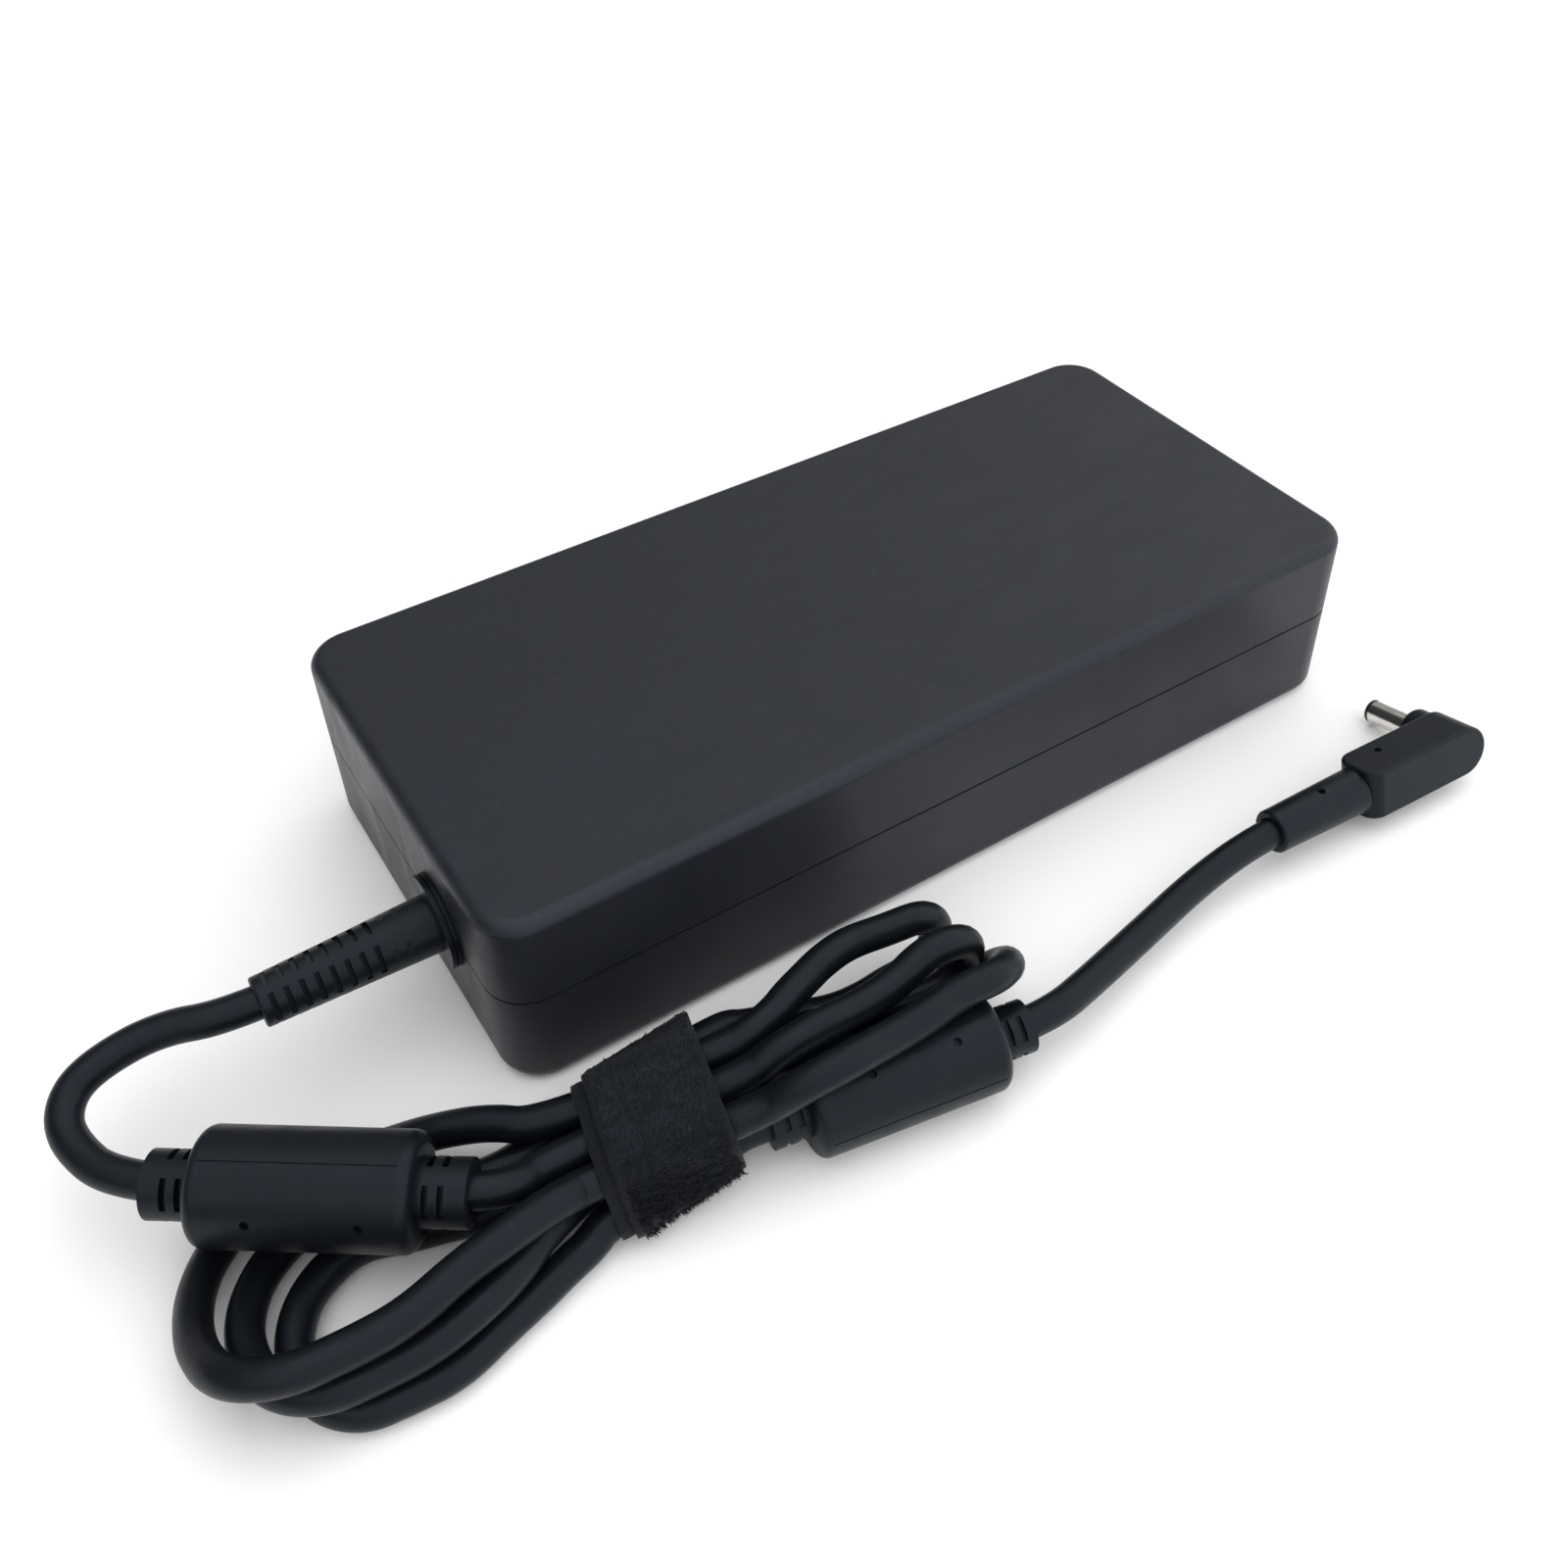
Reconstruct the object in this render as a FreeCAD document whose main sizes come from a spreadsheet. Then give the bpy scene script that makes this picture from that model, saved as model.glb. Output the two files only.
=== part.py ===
import FreeCAD, Part
import math
import os
import Sketcher
from FreeCAD import Placement, Rotation, Vector

# Laptop power adapter with its low voltage cord tied in a hank.
# Millimetres, +Z up. The origin is the middle of the case's underside. The cord leaves the case
# at its -X end, and the mains inlet is at its +X end.

doc = FreeCAD.newDocument("adapter")
sheet = doc.addObject("Spreadsheet::Sheet", "Sizes")


class Size:
    """A number from the sheet together with the expression that binds it."""

    def __init__(self, value, text):
        self.value = value
        self.text = text

    def __add__(self, other):
        other = as_size(other)
        return Size(self.value + other.value, "(%s + %s)" % (self.text, other.text))

    def __sub__(self, other):
        other = as_size(other)
        return Size(self.value - other.value, "(%s - %s)" % (self.text, other.text))

    def __mul__(self, other):
        other = as_size(other)
        return Size(self.value * other.value, "(%s * %s)" % (self.text, other.text))

    def __truediv__(self, other):
        other = as_size(other)
        return Size(self.value / other.value, "(%s / %s)" % (self.text, other.text))

    def __neg__(self):
        return Size(-self.value, "(0 - %s)" % self.text)

    def __radd__(self, other):
        return as_size(other) + self

    def __rsub__(self, other):
        return as_size(other) - self

    def __rmul__(self, other):
        return as_size(other) * self


def as_size(number):
    if isinstance(number, Size):
        return number
    return Size(float(number), repr(float(number)))


def sine(angle):
    return Size(math.sin(math.radians(angle.value)), "sin(%s)" % angle.text)


def cosine(angle):
    return Size(math.cos(math.radians(angle.value)), "cos(%s)" % angle.text)


rows = []


def size(name, value):
    """Writes one driving size into the sheet and returns it."""
    rows.append(name)
    row = len(rows)
    sheet.set("A%d" % row, name)
    sheet.set("B%d" % row, str(value))
    sheet.setAlias("B%d" % row, name)
    return Size(float(value), "Sizes." + name)


def bind(thing, field, amount):
    thing.setExpression(field, as_size(amount).text)


# Case
case_length = size("case_length", 196.0)
case_width = size("case_width", 90.0)
case_height = size("case_height", 40.4)
case_corner = size("case_corner_radius", 8.4)
top_round = size("top_edge_radius", 2.5)
bottom_round = size("bottom_edge_radius", 3.0)
wall = size("case_wall", 2.4)
skin = size("floor_and_roof_thickness", 2.2)
seam_height = size("seam_height", 21.5)
seam_gap = size("seam_gap", 0.4)
tongue_thick = size("tongue_thickness", 1.0)
tongue_height = size("tongue_height", 2.0)
tongue_play = size("tongue_clearance", 0.15)

# Mains inlet
inlet_width = size("inlet_width", 27.6)
inlet_height = size("inlet_height", 20.0)
inlet_middle = size("inlet_middle_height", 20.2)
inlet_depth = size("inlet_depth", 18.6)
inlet_sink = size("inlet_face_sink", 0.4)
inlet_play = size("inlet_clearance", 0.15)
inlet_flange = size("inlet_flange_overhang", 2.0)
inlet_flange_thick = size("inlet_flange_thickness", 2.0)
socket_width = size("socket_width", 24.2)
socket_height = size("socket_height", 16.6)
socket_depth = size("socket_depth", 16.4)
socket_bevel = size("socket_bevel", 4.6)
pin_thick = size("pin_thickness", 2.0)
pin_tall = size("pin_height", 4.0)
pin_spread = size("pin_spread", 7.0)
pin_rise = size("pin_rise", 2.0)
pin_set_back = size("pin_set_back", 3.6)
pin_tail = size("pin_tail", 5.0)

# The inner layout follows the case
share_along = case_length / size("layout_case_length", 196.0)
share_across = case_width / size("layout_case_width", 90.0)
share_up = case_height / size("layout_case_height", 40.4)

# Board and what carries it
board_left = size("board_left_end", 86.0) * share_along
board_right = size("board_right_end", 72.0) * share_along
board_half = size("board_half_width", 39.0) * share_across
board_thick = size("board_thickness", 1.6)
post_height = size("post_height", 4.2)
post_radius = size("post_radius", 3.0)
post_play = size("post_clearance", 0.3)
post_along = size("post_spacing_along", 71.0) * share_along
post_across = size("post_spacing_across", 68.0) * share_across
post_middle = size("post_middle_place", 7.0) * share_along
peg_radius = size("peg_radius", 1.5)
peg_height = size("peg_height", 1.4)
peg_play = size("peg_clearance", 0.2)
spreader_thick = size("heat_spreader_thickness", 0.8)
spreader_half = size("heat_spreader_half_width", 41.6) * share_across
spreader_left = size("heat_spreader_left_end", 88.0) * share_along
spreader_right = size("heat_spreader_right_end", 71.0) * share_along
spreader_meet = size("heat_spreader_meeting_height", 21.0)
spreader_gap = size("heat_spreader_roof_gap", 0.4)
film = size("insulation_thickness", 0.4)
film_edge = size("insulation_edge_gap", 0.2)

# Parts on the board
fuse_radius = size("fuse_radius", 4.2)
fuse_tall = size("fuse_height", 8.0)
fuse_x = size("fuse_place_along", 62.0) * share_along
fuse_y = size("fuse_place_across", 12.0) * share_across
surge_radius = size("surge_absorber_radius", 7.0)
surge_thick = size("surge_absorber_thickness", 4.5)
surge_x = size("surge_absorber_place_along", 62.0) * share_along
surge_y = size("surge_absorber_place_across", -4.0) * share_across
xcap_length = size("line_capacitor_length", 18.0)
xcap_width = size("line_capacitor_width", 9.0)
xcap_tall = size("line_capacitor_height", 15.0)
xcap_x = size("line_capacitor_place_along", 60.0) * share_along
xcap_y = size("line_capacitor_place_across", 30.0) * share_across
ycap_radius = size("earth_capacitor_radius", 4.5)
ycap_thick = size("earth_capacitor_thickness", 4.0)
ycap_x = size("earth_capacitor_place_along", -6.0) * share_along
ycap_y = size("earth_capacitor_place_across", -31.0) * share_across
ycap_pitch = size("earth_capacitor_spacing", 12.0)
bridge_thick = size("bridge_rectifier_thickness", 4.0)
bridge_wide = size("bridge_rectifier_width", 22.0)
bridge_tall = size("bridge_rectifier_height", 18.0) * share_up
bridge_x = size("bridge_rectifier_place_along", 56.0) * share_along
bridge_y = size("bridge_rectifier_place_across", -25.0) * share_across
bulk_radius = size("bulk_capacitor_radius", 9.0)
bulk_tall = size("bulk_capacitor_height", 26.0) * share_up
bulk_x = size("bulk_capacitor_place_along", 11.0) * share_along
bulk_y = size("bulk_capacitor_place_across", -12.0) * share_across
bulk_pitch = size("bulk_capacitor_spacing", 20.0)
outcap_radius = size("output_capacitor_radius", 5.0)
outcap_tall = size("output_capacitor_height", 22.0) * share_up
outcap_x = size("output_capacitor_place_along", -74.0) * share_along
outcap_y = size("output_capacitor_place_across", 22.0) * share_across
outcap_pitch = size("output_capacitor_spacing", 12.0)
sink_thick = size("heatsink_thickness", 2.5)
sink_tall = size("heatsink_height", 26.0) * share_up
sink_foot = size("heatsink_foot", 6.0)
primary_sink_length = size("primary_heatsink_length", 38.0) * share_along
primary_sink_x = size("primary_heatsink_place_along", 7.0) * share_along
primary_sink_y = size("primary_heatsink_place_across", 15.0) * share_across
secondary_sink_length = size("secondary_heatsink_length", 40.0) * share_across
secondary_sink_x = size("secondary_heatsink_place_along", -56.0) * share_along
secondary_sink_y = size("secondary_heatsink_place_across", 0.0) * share_across
pack_wide = size("transistor_width", 10.0)
pack_thick = size("transistor_thickness", 4.5)
pack_tall = size("transistor_body_height", 13.0) * share_up
pack_legs = size("transistor_leg_length", 4.0)
tab_tall = size("transistor_tab_height", 7.0)
tab_thick = size("transistor_tab_thickness", 1.3)
leg_wide = size("transistor_leg_width", 0.8)
leg_pitch = size("transistor_leg_spacing", 2.5)
pad_thick = size("thermal_pad_thickness", 0.4)
primary_pitch = size("primary_transistor_spacing", 12.0)
secondary_pitch = size("secondary_rectifier_spacing", 16.0)
screw_radius = size("heatsink_screw_radius", 1.5)
screw_head = size("heatsink_screw_head_radius", 2.8)
screw_head_tall = size("heatsink_screw_head_height", 2.0)
screw_play = size("heatsink_screw_clearance", 0.1)
opto_length = size("optocoupler_length", 6.5)
opto_width = size("optocoupler_width", 4.6)
opto_tall = size("optocoupler_height", 3.5)
opto_x = size("optocoupler_place_along", -32.0) * share_along
opto_y = size("optocoupler_place_across", 25.0) * share_across
opto_pitch = size("optocoupler_spacing", 9.0)
chip_length = size("control_chip_length", 10.0)
chip_width = size("control_chip_width", 6.0)
chip_tall = size("control_chip_height", 1.6)
chip_x = size("control_chip_place_along", -10.0) * share_along
chip_y = size("control_chip_place_across", 31.0) * share_across
chip_pitch = size("control_chip_spacing", 24.0)
lead_radius = size("lead_wire_radius", 1.1)
output_lead_spread = size("output_lead_spread", 1.4)

# Wound parts on the board
line_choke = {
    "x": size("line_choke_place_along", 38.0) * share_along,
    "y": size("line_choke_place_across", 22.0) * share_across,
    "length": size("line_choke_core_length", 20.0) * share_along,
    "width": size("line_choke_core_width", 24.0) * share_across,
    "leg_wide": size("line_choke_leg_width", 5.0),
    "leg_tall": size("line_choke_leg_height", 7.0) * share_up,
    "yoke": size("line_choke_yoke", 3.5),
    "build": size("line_choke_winding_build", 4.5) * share_up,
    "flange": size("line_choke_flange", 1.0),
}
boost_choke = {
    "x": size("boost_choke_place_along", 37.0) * share_along,
    "y": size("boost_choke_place_across", -20.0) * share_across,
    "length": size("boost_choke_core_length", 26.0) * share_along,
    "width": size("boost_choke_core_width", 28.0) * share_across,
    "leg_wide": size("boost_choke_leg_width", 7.0),
    "leg_tall": size("boost_choke_leg_height", 9.0) * share_up,
    "yoke": size("boost_choke_yoke", 4.0),
    "build": size("boost_choke_winding_build", 5.5) * share_up,
    "flange": size("boost_choke_flange", 1.0),
}
transformer = {
    "x": size("transformer_place_along", -32.0) * share_along,
    "y": size("transformer_place_across", -3.0) * share_across,
    "length": size("transformer_core_length", 33.0) * share_along,
    "width": size("transformer_core_width", 36.0) * share_across,
    "leg_wide": size("transformer_leg_width", 10.0),
    "leg_tall": size("transformer_leg_height", 11.0) * share_up,
    "yoke": size("transformer_yoke", 5.0),
    "build": size("transformer_winding_build", 6.0) * share_up,
    "flange": size("transformer_flange", 1.0),
}
bobbin_wall = size("bobbin_wall", 0.8)
bobbin_play = size("bobbin_clearance", 0.15)
toroid_outer = size("output_choke_core_radius", 8.5)
toroid_inner = size("output_choke_core_bore", 4.5)
toroid_tall = size("output_choke_core_height", 8.0)
toroid_wire = size("output_choke_winding_build", 1.6)
toroid_play = size("output_choke_clearance", 0.1)
toroid_x = size("output_choke_place_along", -73.0) * share_along
toroid_y = size("output_choke_place_across", -27.0) * share_across

# Cord and what is moulded on it
cord_radius = size("cord_radius", 3.0)
bore_play = size("cord_bore_clearance", 0.06)
outlet_y = size("outlet_place_across", -18.8)
outlet_z = size("outlet_height", 21.7)
neck_radius = size("strain_relief_neck_radius", 6.6)
neck_play = size("strain_relief_neck_clearance", 0.1)
back_flange = size("strain_relief_back_flange_radius", 8.6)
back_flange_thick = size("strain_relief_back_flange_thickness", 1.6)
lip_radius = size("strain_relief_lip_radius", 8.9)
lip_groove = size("strain_relief_lip_groove_radius", 8.1)
lip_thick = size("strain_relief_lip_thickness", 0.7)
lip_space = size("strain_relief_lip_space", 0.4)
boot_length = size("boot_length", 33.0)
boot_root = size("boot_root_radius", 5.4)
boot_tip = size("boot_tip_radius", 4.5)
slot_pitch = size("boot_slot_pitch", 2.6)
slot_width = size("boot_slot_width", 0.95)
slot_reach = size("boot_slot_reach", 5.4)
slot_floor = size("boot_slot_floor_radius", 3.65)
slot_turn = size("boot_slot_turn", 21.0)
slot_start = size("boot_first_slot_place", 12.6)
slot_count = 8
slot_rows = 4
shallow_count = 2
shallow_depth = size("boot_shallow_slot_depth", 0.3)
cord_overlap = size("cord_straight_in_moulding", 6.0)

first_ferrite = {
    "x": size("first_ferrite_place_along", -135.05),
    "y": size("first_ferrite_place_across", -53.05),
    "z": size("first_ferrite_height", 15.7),
    "yaw": size("first_ferrite_yaw", -35.5),
    "roll": size("first_ferrite_roll", 68.0),
    "half": size("first_ferrite_half_length", 17.4),
    "radius": size("first_ferrite_radius", 9.3),
    "edge": size("first_ferrite_edge_radius", 2.0),
    "relief": size("first_ferrite_relief_length", 7.8),
    "neck": size("first_ferrite_relief_radius", 5.4),
    "turn": size("first_ferrite_slot_turn", -18.0),
    "core": size("first_ferrite_core_radius", 7.4),
    "core_half": size("first_ferrite_core_half_length", 14.3),
    "dimple": size("first_ferrite_dimple_spacing", 17.3),
    "shift": size("first_ferrite_dimple_shift", 1.5),
    "parting": size("first_ferrite_parting_turn", -59.0),
}
second_ferrite = {
    "x": size("second_ferrite_place_along", -44.4),
    "y": size("second_ferrite_place_across", -82.4),
    "z": size("second_ferrite_height", 8.95),
    "yaw": size("second_ferrite_yaw", -10.0),
    "roll": size("second_ferrite_roll", 24.0),
    "half": size("second_ferrite_half_length", 17.75),
    "radius": size("second_ferrite_radius", 8.8),
    "edge": size("second_ferrite_edge_radius", 2.0),
    "relief": size("second_ferrite_relief_length", 6.4),
    "neck": size("second_ferrite_relief_radius", 4.7),
    "turn": size("second_ferrite_slot_turn", 13.0),
    "core": size("second_ferrite_core_radius", 7.0),
    "core_half": size("second_ferrite_core_half_length", 14.5),
    "dimple": size("second_ferrite_dimple_spacing", 15.5),
    "shift": size("second_ferrite_dimple_shift", 1.1),
    "parting": size("second_ferrite_parting_turn", 62.0),
}
core_wall = size("ferrite_core_inner_wall", 0.7)
core_play = size("ferrite_core_clearance", 0.1)
relief_slot = size("relief_slot_width", 1.0)
relief_pitch = size("relief_slot_pitch", 2.4)
relief_first = size("relief_first_slot", 1.6)
relief_floor = size("relief_slot_floor_radius", 3.6)
parting_width = size("parting_line_width", 0.25)
parting_depth = size("parting_line_depth", 0.2)
dimple_radius = size("dimple_radius", 0.75)
dimple_depth = size("dimple_depth", 1.0)

# Hank of cord and its tie
strand_pitch = size("hank_strand_pitch", 6.75)
row_shift = size("hank_row_shift", 5.4)
tie_gap = size("tie_strand_gap", 0.3)
tie_thick = size("tie_thickness", 1.1)
tie_start = size("tie_first_edge", 3.3)
tie_end = size("tie_last_edge", 24.6)
tie_step = size("tie_layer_step", 2.6)

# Plug
plug_x = size("plug_place_along", 95.6)
plug_y = size("plug_place_across", -84.2)
plug_z = size("plug_height", 9.7)
plug_yaw = size("plug_yaw", -2.7)
plug_roll = size("plug_roll", 16.3)
plug_radius = size("plug_end_radius", 5.4)
plug_depth = size("plug_depth", 10.4)
plug_reach = size("plug_body_reach", 26.0)
plug_corner = size("plug_corner_radius", 3.4)
plug_edge = size("plug_edge_radius", 0.7)
collar_radius = size("collar_radius", 4.6)
collar_length = size("collar_length", 4.2)
collar_edge = size("collar_edge_radius", 1.2)
sleeve_radius = size("plug_sleeve_radius", 4.75)
sleeve_length = size("plug_sleeve_length", 22.0)
sleeve_edge = size("plug_sleeve_edge_radius", 0.6)
sleeve_taper = size("plug_sleeve_taper", 0.35)
cord_in_body = size("cord_in_plug_body", 5.0)
barrel_radius = size("barrel_radius", 2.5)
barrel_wall = size("barrel_wall", 0.3)
barrel_length = size("barrel_length", 10.6)
barrel_root = size("barrel_root", 6.0)
tip_length = size("barrel_tip_length", 0.8)
root_radius = size("barrel_root_radius", 1.5)
root_wall = size("barrel_root_wall", 0.2)
barrel_web = size("barrel_web_thickness", 0.4)
contact_bore = size("inner_contact_bore_radius", 0.85)
contact_wall = size("inner_contact_wall", 0.2)
contact_sink = size("inner_contact_sink", 0.6)
plug_dimple_depth = size("plug_dimple_depth", 0.8)
body_dimple_back = size("plug_body_dimple_place", 17.75)
body_dimple_side = size("plug_body_dimple_side", 6.75)
sleeve_dimple_back = size("plug_sleeve_dimple_place", 35.5)
sleeve_dimple_side = size("plug_sleeve_dimple_side", 4.15)

doc.recompute()
pieces = []


def keep(thing, name):
    """Marks an object as a sub-part of the adapter."""
    thing.Label = name
    pieces.append(thing)
    return thing


def place(thing, x, y, z, yaw=0, pitch=0, roll=0):
    """Binds the placement of an object to sizes."""
    spot = "; ".join(as_size(value).text for value in (x, y, z))
    turn = "; ".join(as_size(value).text for value in (yaw, pitch, roll))
    text = "create(<<placement>>; create(<<vector>>; %s); create(<<rotation>>; %s))"
    thing.setExpression("Placement", text % (spot, turn))
    return thing


def box(name, x0, x1, y0, y1, z0, z1):
    """A block between two corners."""
    thing = doc.addObject("Part::Box", name)
    bind(thing, "Length", as_size(x1) - x0)
    bind(thing, "Width", as_size(y1) - y0)
    bind(thing, "Height", as_size(z1) - z0)
    return place(thing, x0, y0, z0)


def block(name, x, y, z, length, width, height):
    """A block standing at height z, centred on x and y."""
    return box(name, x - length / 2, x + length / 2, y - width / 2, y + width / 2, z, z + height)


def rod(name, radius, length, x, y, z, along="z"):
    """A cylinder that starts at a point and runs along +X, +Y or +Z."""
    thing = doc.addObject("Part::Cylinder", name)
    bind(thing, "Radius", radius)
    bind(thing, "Height", length)
    pitch = 90 if along == "x" else 0
    roll = -90 if along == "y" else 0
    return place(thing, x, y, z, 0, pitch, roll)


def join(name, things):
    thing = doc.addObject("Part::MultiFuse", name)
    thing.Shapes = things
    return thing


def group(name, things):
    """Separate solids in one sub-part."""
    thing = doc.addObject("Part::Compound", name)
    thing.Links = things
    return thing


def cut(name, base, tools):
    thing = doc.addObject("Part::Cut", name)
    thing.Base = base
    thing.Tool = tools[0] if len(tools) == 1 else group(name + "_tools", tools)
    return thing


def ring(name, outer, inner, length, x, y, z, along="z"):
    solid = rod(name + "_solid", outer, length, x, y, z, along)
    hole = rod(name + "_hole", inner, length, x, y, z, along)
    return cut(name, solid, [hole])


def origin_item(body, role):
    return next(item for item in body.Origin.OriginFeatures if item.Role == role)


def blank_sketch(body, name, role="XY_Plane"):
    sketch = body.newObject("Sketcher::SketchObject", name)
    sketch.AttachmentSupport = [(origin_item(body, role), "")]
    sketch.MapMode = "FlatFace"
    return sketch


def pin_vertex(sketch, edge, end, x, y):
    """Ties one end of an edge to a place given by sizes."""
    for kind, amount, axis in (("DistanceX", as_size(x), -2), ("DistanceY", as_size(y), -1)):
        if abs(amount.value) < 1e-9:
            sketch.addConstraint(Sketcher.Constraint("PointOnObject", edge, end, axis))
            continue
        if amount.value < 0:
            rule = Sketcher.Constraint(kind, edge, end, -1, 1, -amount.value)
            amount = -amount
        else:
            rule = Sketcher.Constraint(kind, -1, 1, edge, end, amount.value)
        number = sketch.addConstraint(rule)
        sketch.setExpression("Constraints[%d]" % number, amount.text)


def outline(body, name, points, role="XY_Plane"):
    """A closed outline of straight lines through points given by sizes."""
    sketch = blank_sketch(body, name, role)
    spots = [Vector(as_size(x).value, as_size(y).value, 0) for x, y in points]
    count = len(points)
    for number in range(count):
        line = Part.LineSegment(spots[number], spots[(number + 1) % count])
        sketch.addGeometry(line, False)
    for number in range(count):
        rule = Sketcher.Constraint("Coincident", number, 2, (number + 1) % count, 1)
        sketch.addConstraint(rule)
    for number, (x, y) in enumerate(points):
        pin_vertex(sketch, number, 1, x, y)
    return sketch


def pad(body, name, sketch, length, backwards=False):
    feature = body.newObject("PartDesign::Pad", name)
    feature.Profile = sketch
    bind(feature, "Length", length)
    feature.Reversed = backwards
    return feature


def turned(body, name, sketch, kind="Revolution"):
    """Revolves an outline about the body's X axis, or cuts it out as a groove."""
    feature = body.newObject("PartDesign::" + kind, name)
    feature.Profile = sketch
    feature.ReferenceAxis = (origin_item(body, "X_Axis"), [""])
    feature.Angle = 360
    return feature


def rounded(body, name, base, radius, wanted):
    """Fillets the edges of a feature that a test picks."""
    doc.recompute()
    edges = [
        "Edge%d" % (number + 1)
        for number, edge in enumerate(base.Shape.Edges)
        if wanted(edge)
    ]
    feature = body.newObject("PartDesign::Fillet", name)
    feature.Base = (base, edges)
    bind(feature, "Radius", radius)
    return feature


def upright(edge):
    """True for a straight edge along Z."""
    ends = [vertex.Point for vertex in edge.Vertexes]
    if len(ends) != 2 or edge.Curve.TypeId != "Part::GeomLine":
        return False
    return abs(ends[0].x - ends[1].x) < 1e-6 and abs(ends[0].y - ends[1].y) < 1e-6


def at_height(height):
    """A test for edges that lie flat at one height."""
    level = as_size(height).value

    def test(edge):
        ring_box = edge.BoundBox
        return abs(ring_box.ZMin - level) < 1e-6 and abs(ring_box.ZMax - level) < 1e-6

    return test


def circle_at(place_along, radius):
    """A test for the full circle about X at one place with one radius."""
    spot = as_size(place_along).value
    reach = as_size(radius).value

    def test(edge):
        if edge.Curve.TypeId != "Part::GeomCircle":
            return False
        return abs(edge.Curve.Center.x - spot) < 1e-6 and abs(edge.Curve.Radius - reach) < 1e-6

    return test


def rounded_block(name, length, width, z0, z1, corner, bottom=None, top=None):
    """A block centred on the origin with round upright corners and, if asked, round rims."""
    body = doc.addObject("PartDesign::Body", name)
    half = as_size(length) / 2
    side = as_size(width) / 2
    sketch = outline(body, name + "_plan", [(-half, -side), (half, -side), (half, side), (-half, side)])
    bind(sketch, "AttachmentOffset.Base.z", z0)
    raised = pad(body, name + "_height", sketch, as_size(z1) - z0)
    feature = rounded(body, name + "_corners", raised, corner, upright)
    if bottom is not None:
        feature = rounded(body, name + "_bottom_rim", feature, bottom, at_height(z0))
    if top is not None:
        feature = rounded(body, name + "_top_rim", feature, top, at_height(z1))
    return body


# Heights that several pieces share
inner_length = case_length - wall * 2
inner_width = case_width - wall * 2
lower_top = seam_height - seam_gap / 2
upper_bottom = seam_height + seam_gap / 2
tongue_top = lower_top + tongue_height
roof = case_height - skin
board_under = skin + post_height
board_top = board_under + board_thick
case_end = case_length / 2
lid_top = roof - spreader_gap
lid_under = lid_top - spreader_thick
ceiling = lid_under - film


def post_places():
    for column in (-1, 0, 1):
        for side in (-1, 1):
            yield -post_middle + post_along * column, post_across / 2 * side


def end_cutters(prefix):
    """What both covers leave open: the inlet's window and the strain relief's hole."""
    window = box(
        prefix + "_inlet_window",
        case_end - wall * 2,
        case_end + 1,
        -inlet_width / 2 - inlet_play,
        inlet_width / 2 + inlet_play,
        inlet_middle - inlet_height / 2 - inlet_play,
        inlet_middle + inlet_height / 2 + inlet_play,
    )
    hole = rod(
        prefix + "_outlet_hole",
        neck_radius + neck_play,
        wall * 3,
        -case_end - wall,
        outlet_y,
        outlet_z,
        "x",
    )
    return [window, hole]


def bottom_cover():
    shell = rounded_block("lower_shell", case_length, case_width, 0, lower_top, case_corner, bottom_round)
    tongue_edge = (wall - tongue_thick) * 2
    tongue = rounded_block(
        "lower_tongue",
        case_length - tongue_edge,
        case_width - tongue_edge,
        skin,
        tongue_top,
        case_corner - wall + tongue_thick,
    )
    room = rounded_block("lower_room", inner_length, inner_width, skin, case_height, case_corner - wall)
    tray = cut("lower_tray", join("lower_solid", [shell, tongue]), [room] + end_cutters("lower"))
    things = [tray]
    for number, (x, y) in enumerate(post_places()):
        things.append(rod("post_%d" % number, post_radius, post_height + 0.1, x, y, skin - 0.1))
        things.append(rod("peg_%d" % number, peg_radius, post_height + peg_height, x, y, skin))
    keep(join("bottom_cover", things), "bottom_cover")


def top_cover():
    shell = rounded_block("upper_shell", case_length, case_width, upper_bottom, case_height, case_corner, None, top_round)
    room = rounded_block("upper_room", inner_length, inner_width, skin, roof, case_corner - wall)
    recess_edge = (wall - tongue_thick - tongue_play) * 2
    recess = rounded_block(
        "upper_recess",
        case_length - recess_edge,
        case_width - recess_edge,
        skin,
        tongue_top + tongue_play * 2,
        case_corner - wall + tongue_thick + tongue_play,
    )
    keep(cut("top_cover", shell, [room, recess] + end_cutters("upper")), "top_cover")


inlet_face = case_end - inlet_sink
inlet_back = inlet_face - inlet_depth


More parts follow.
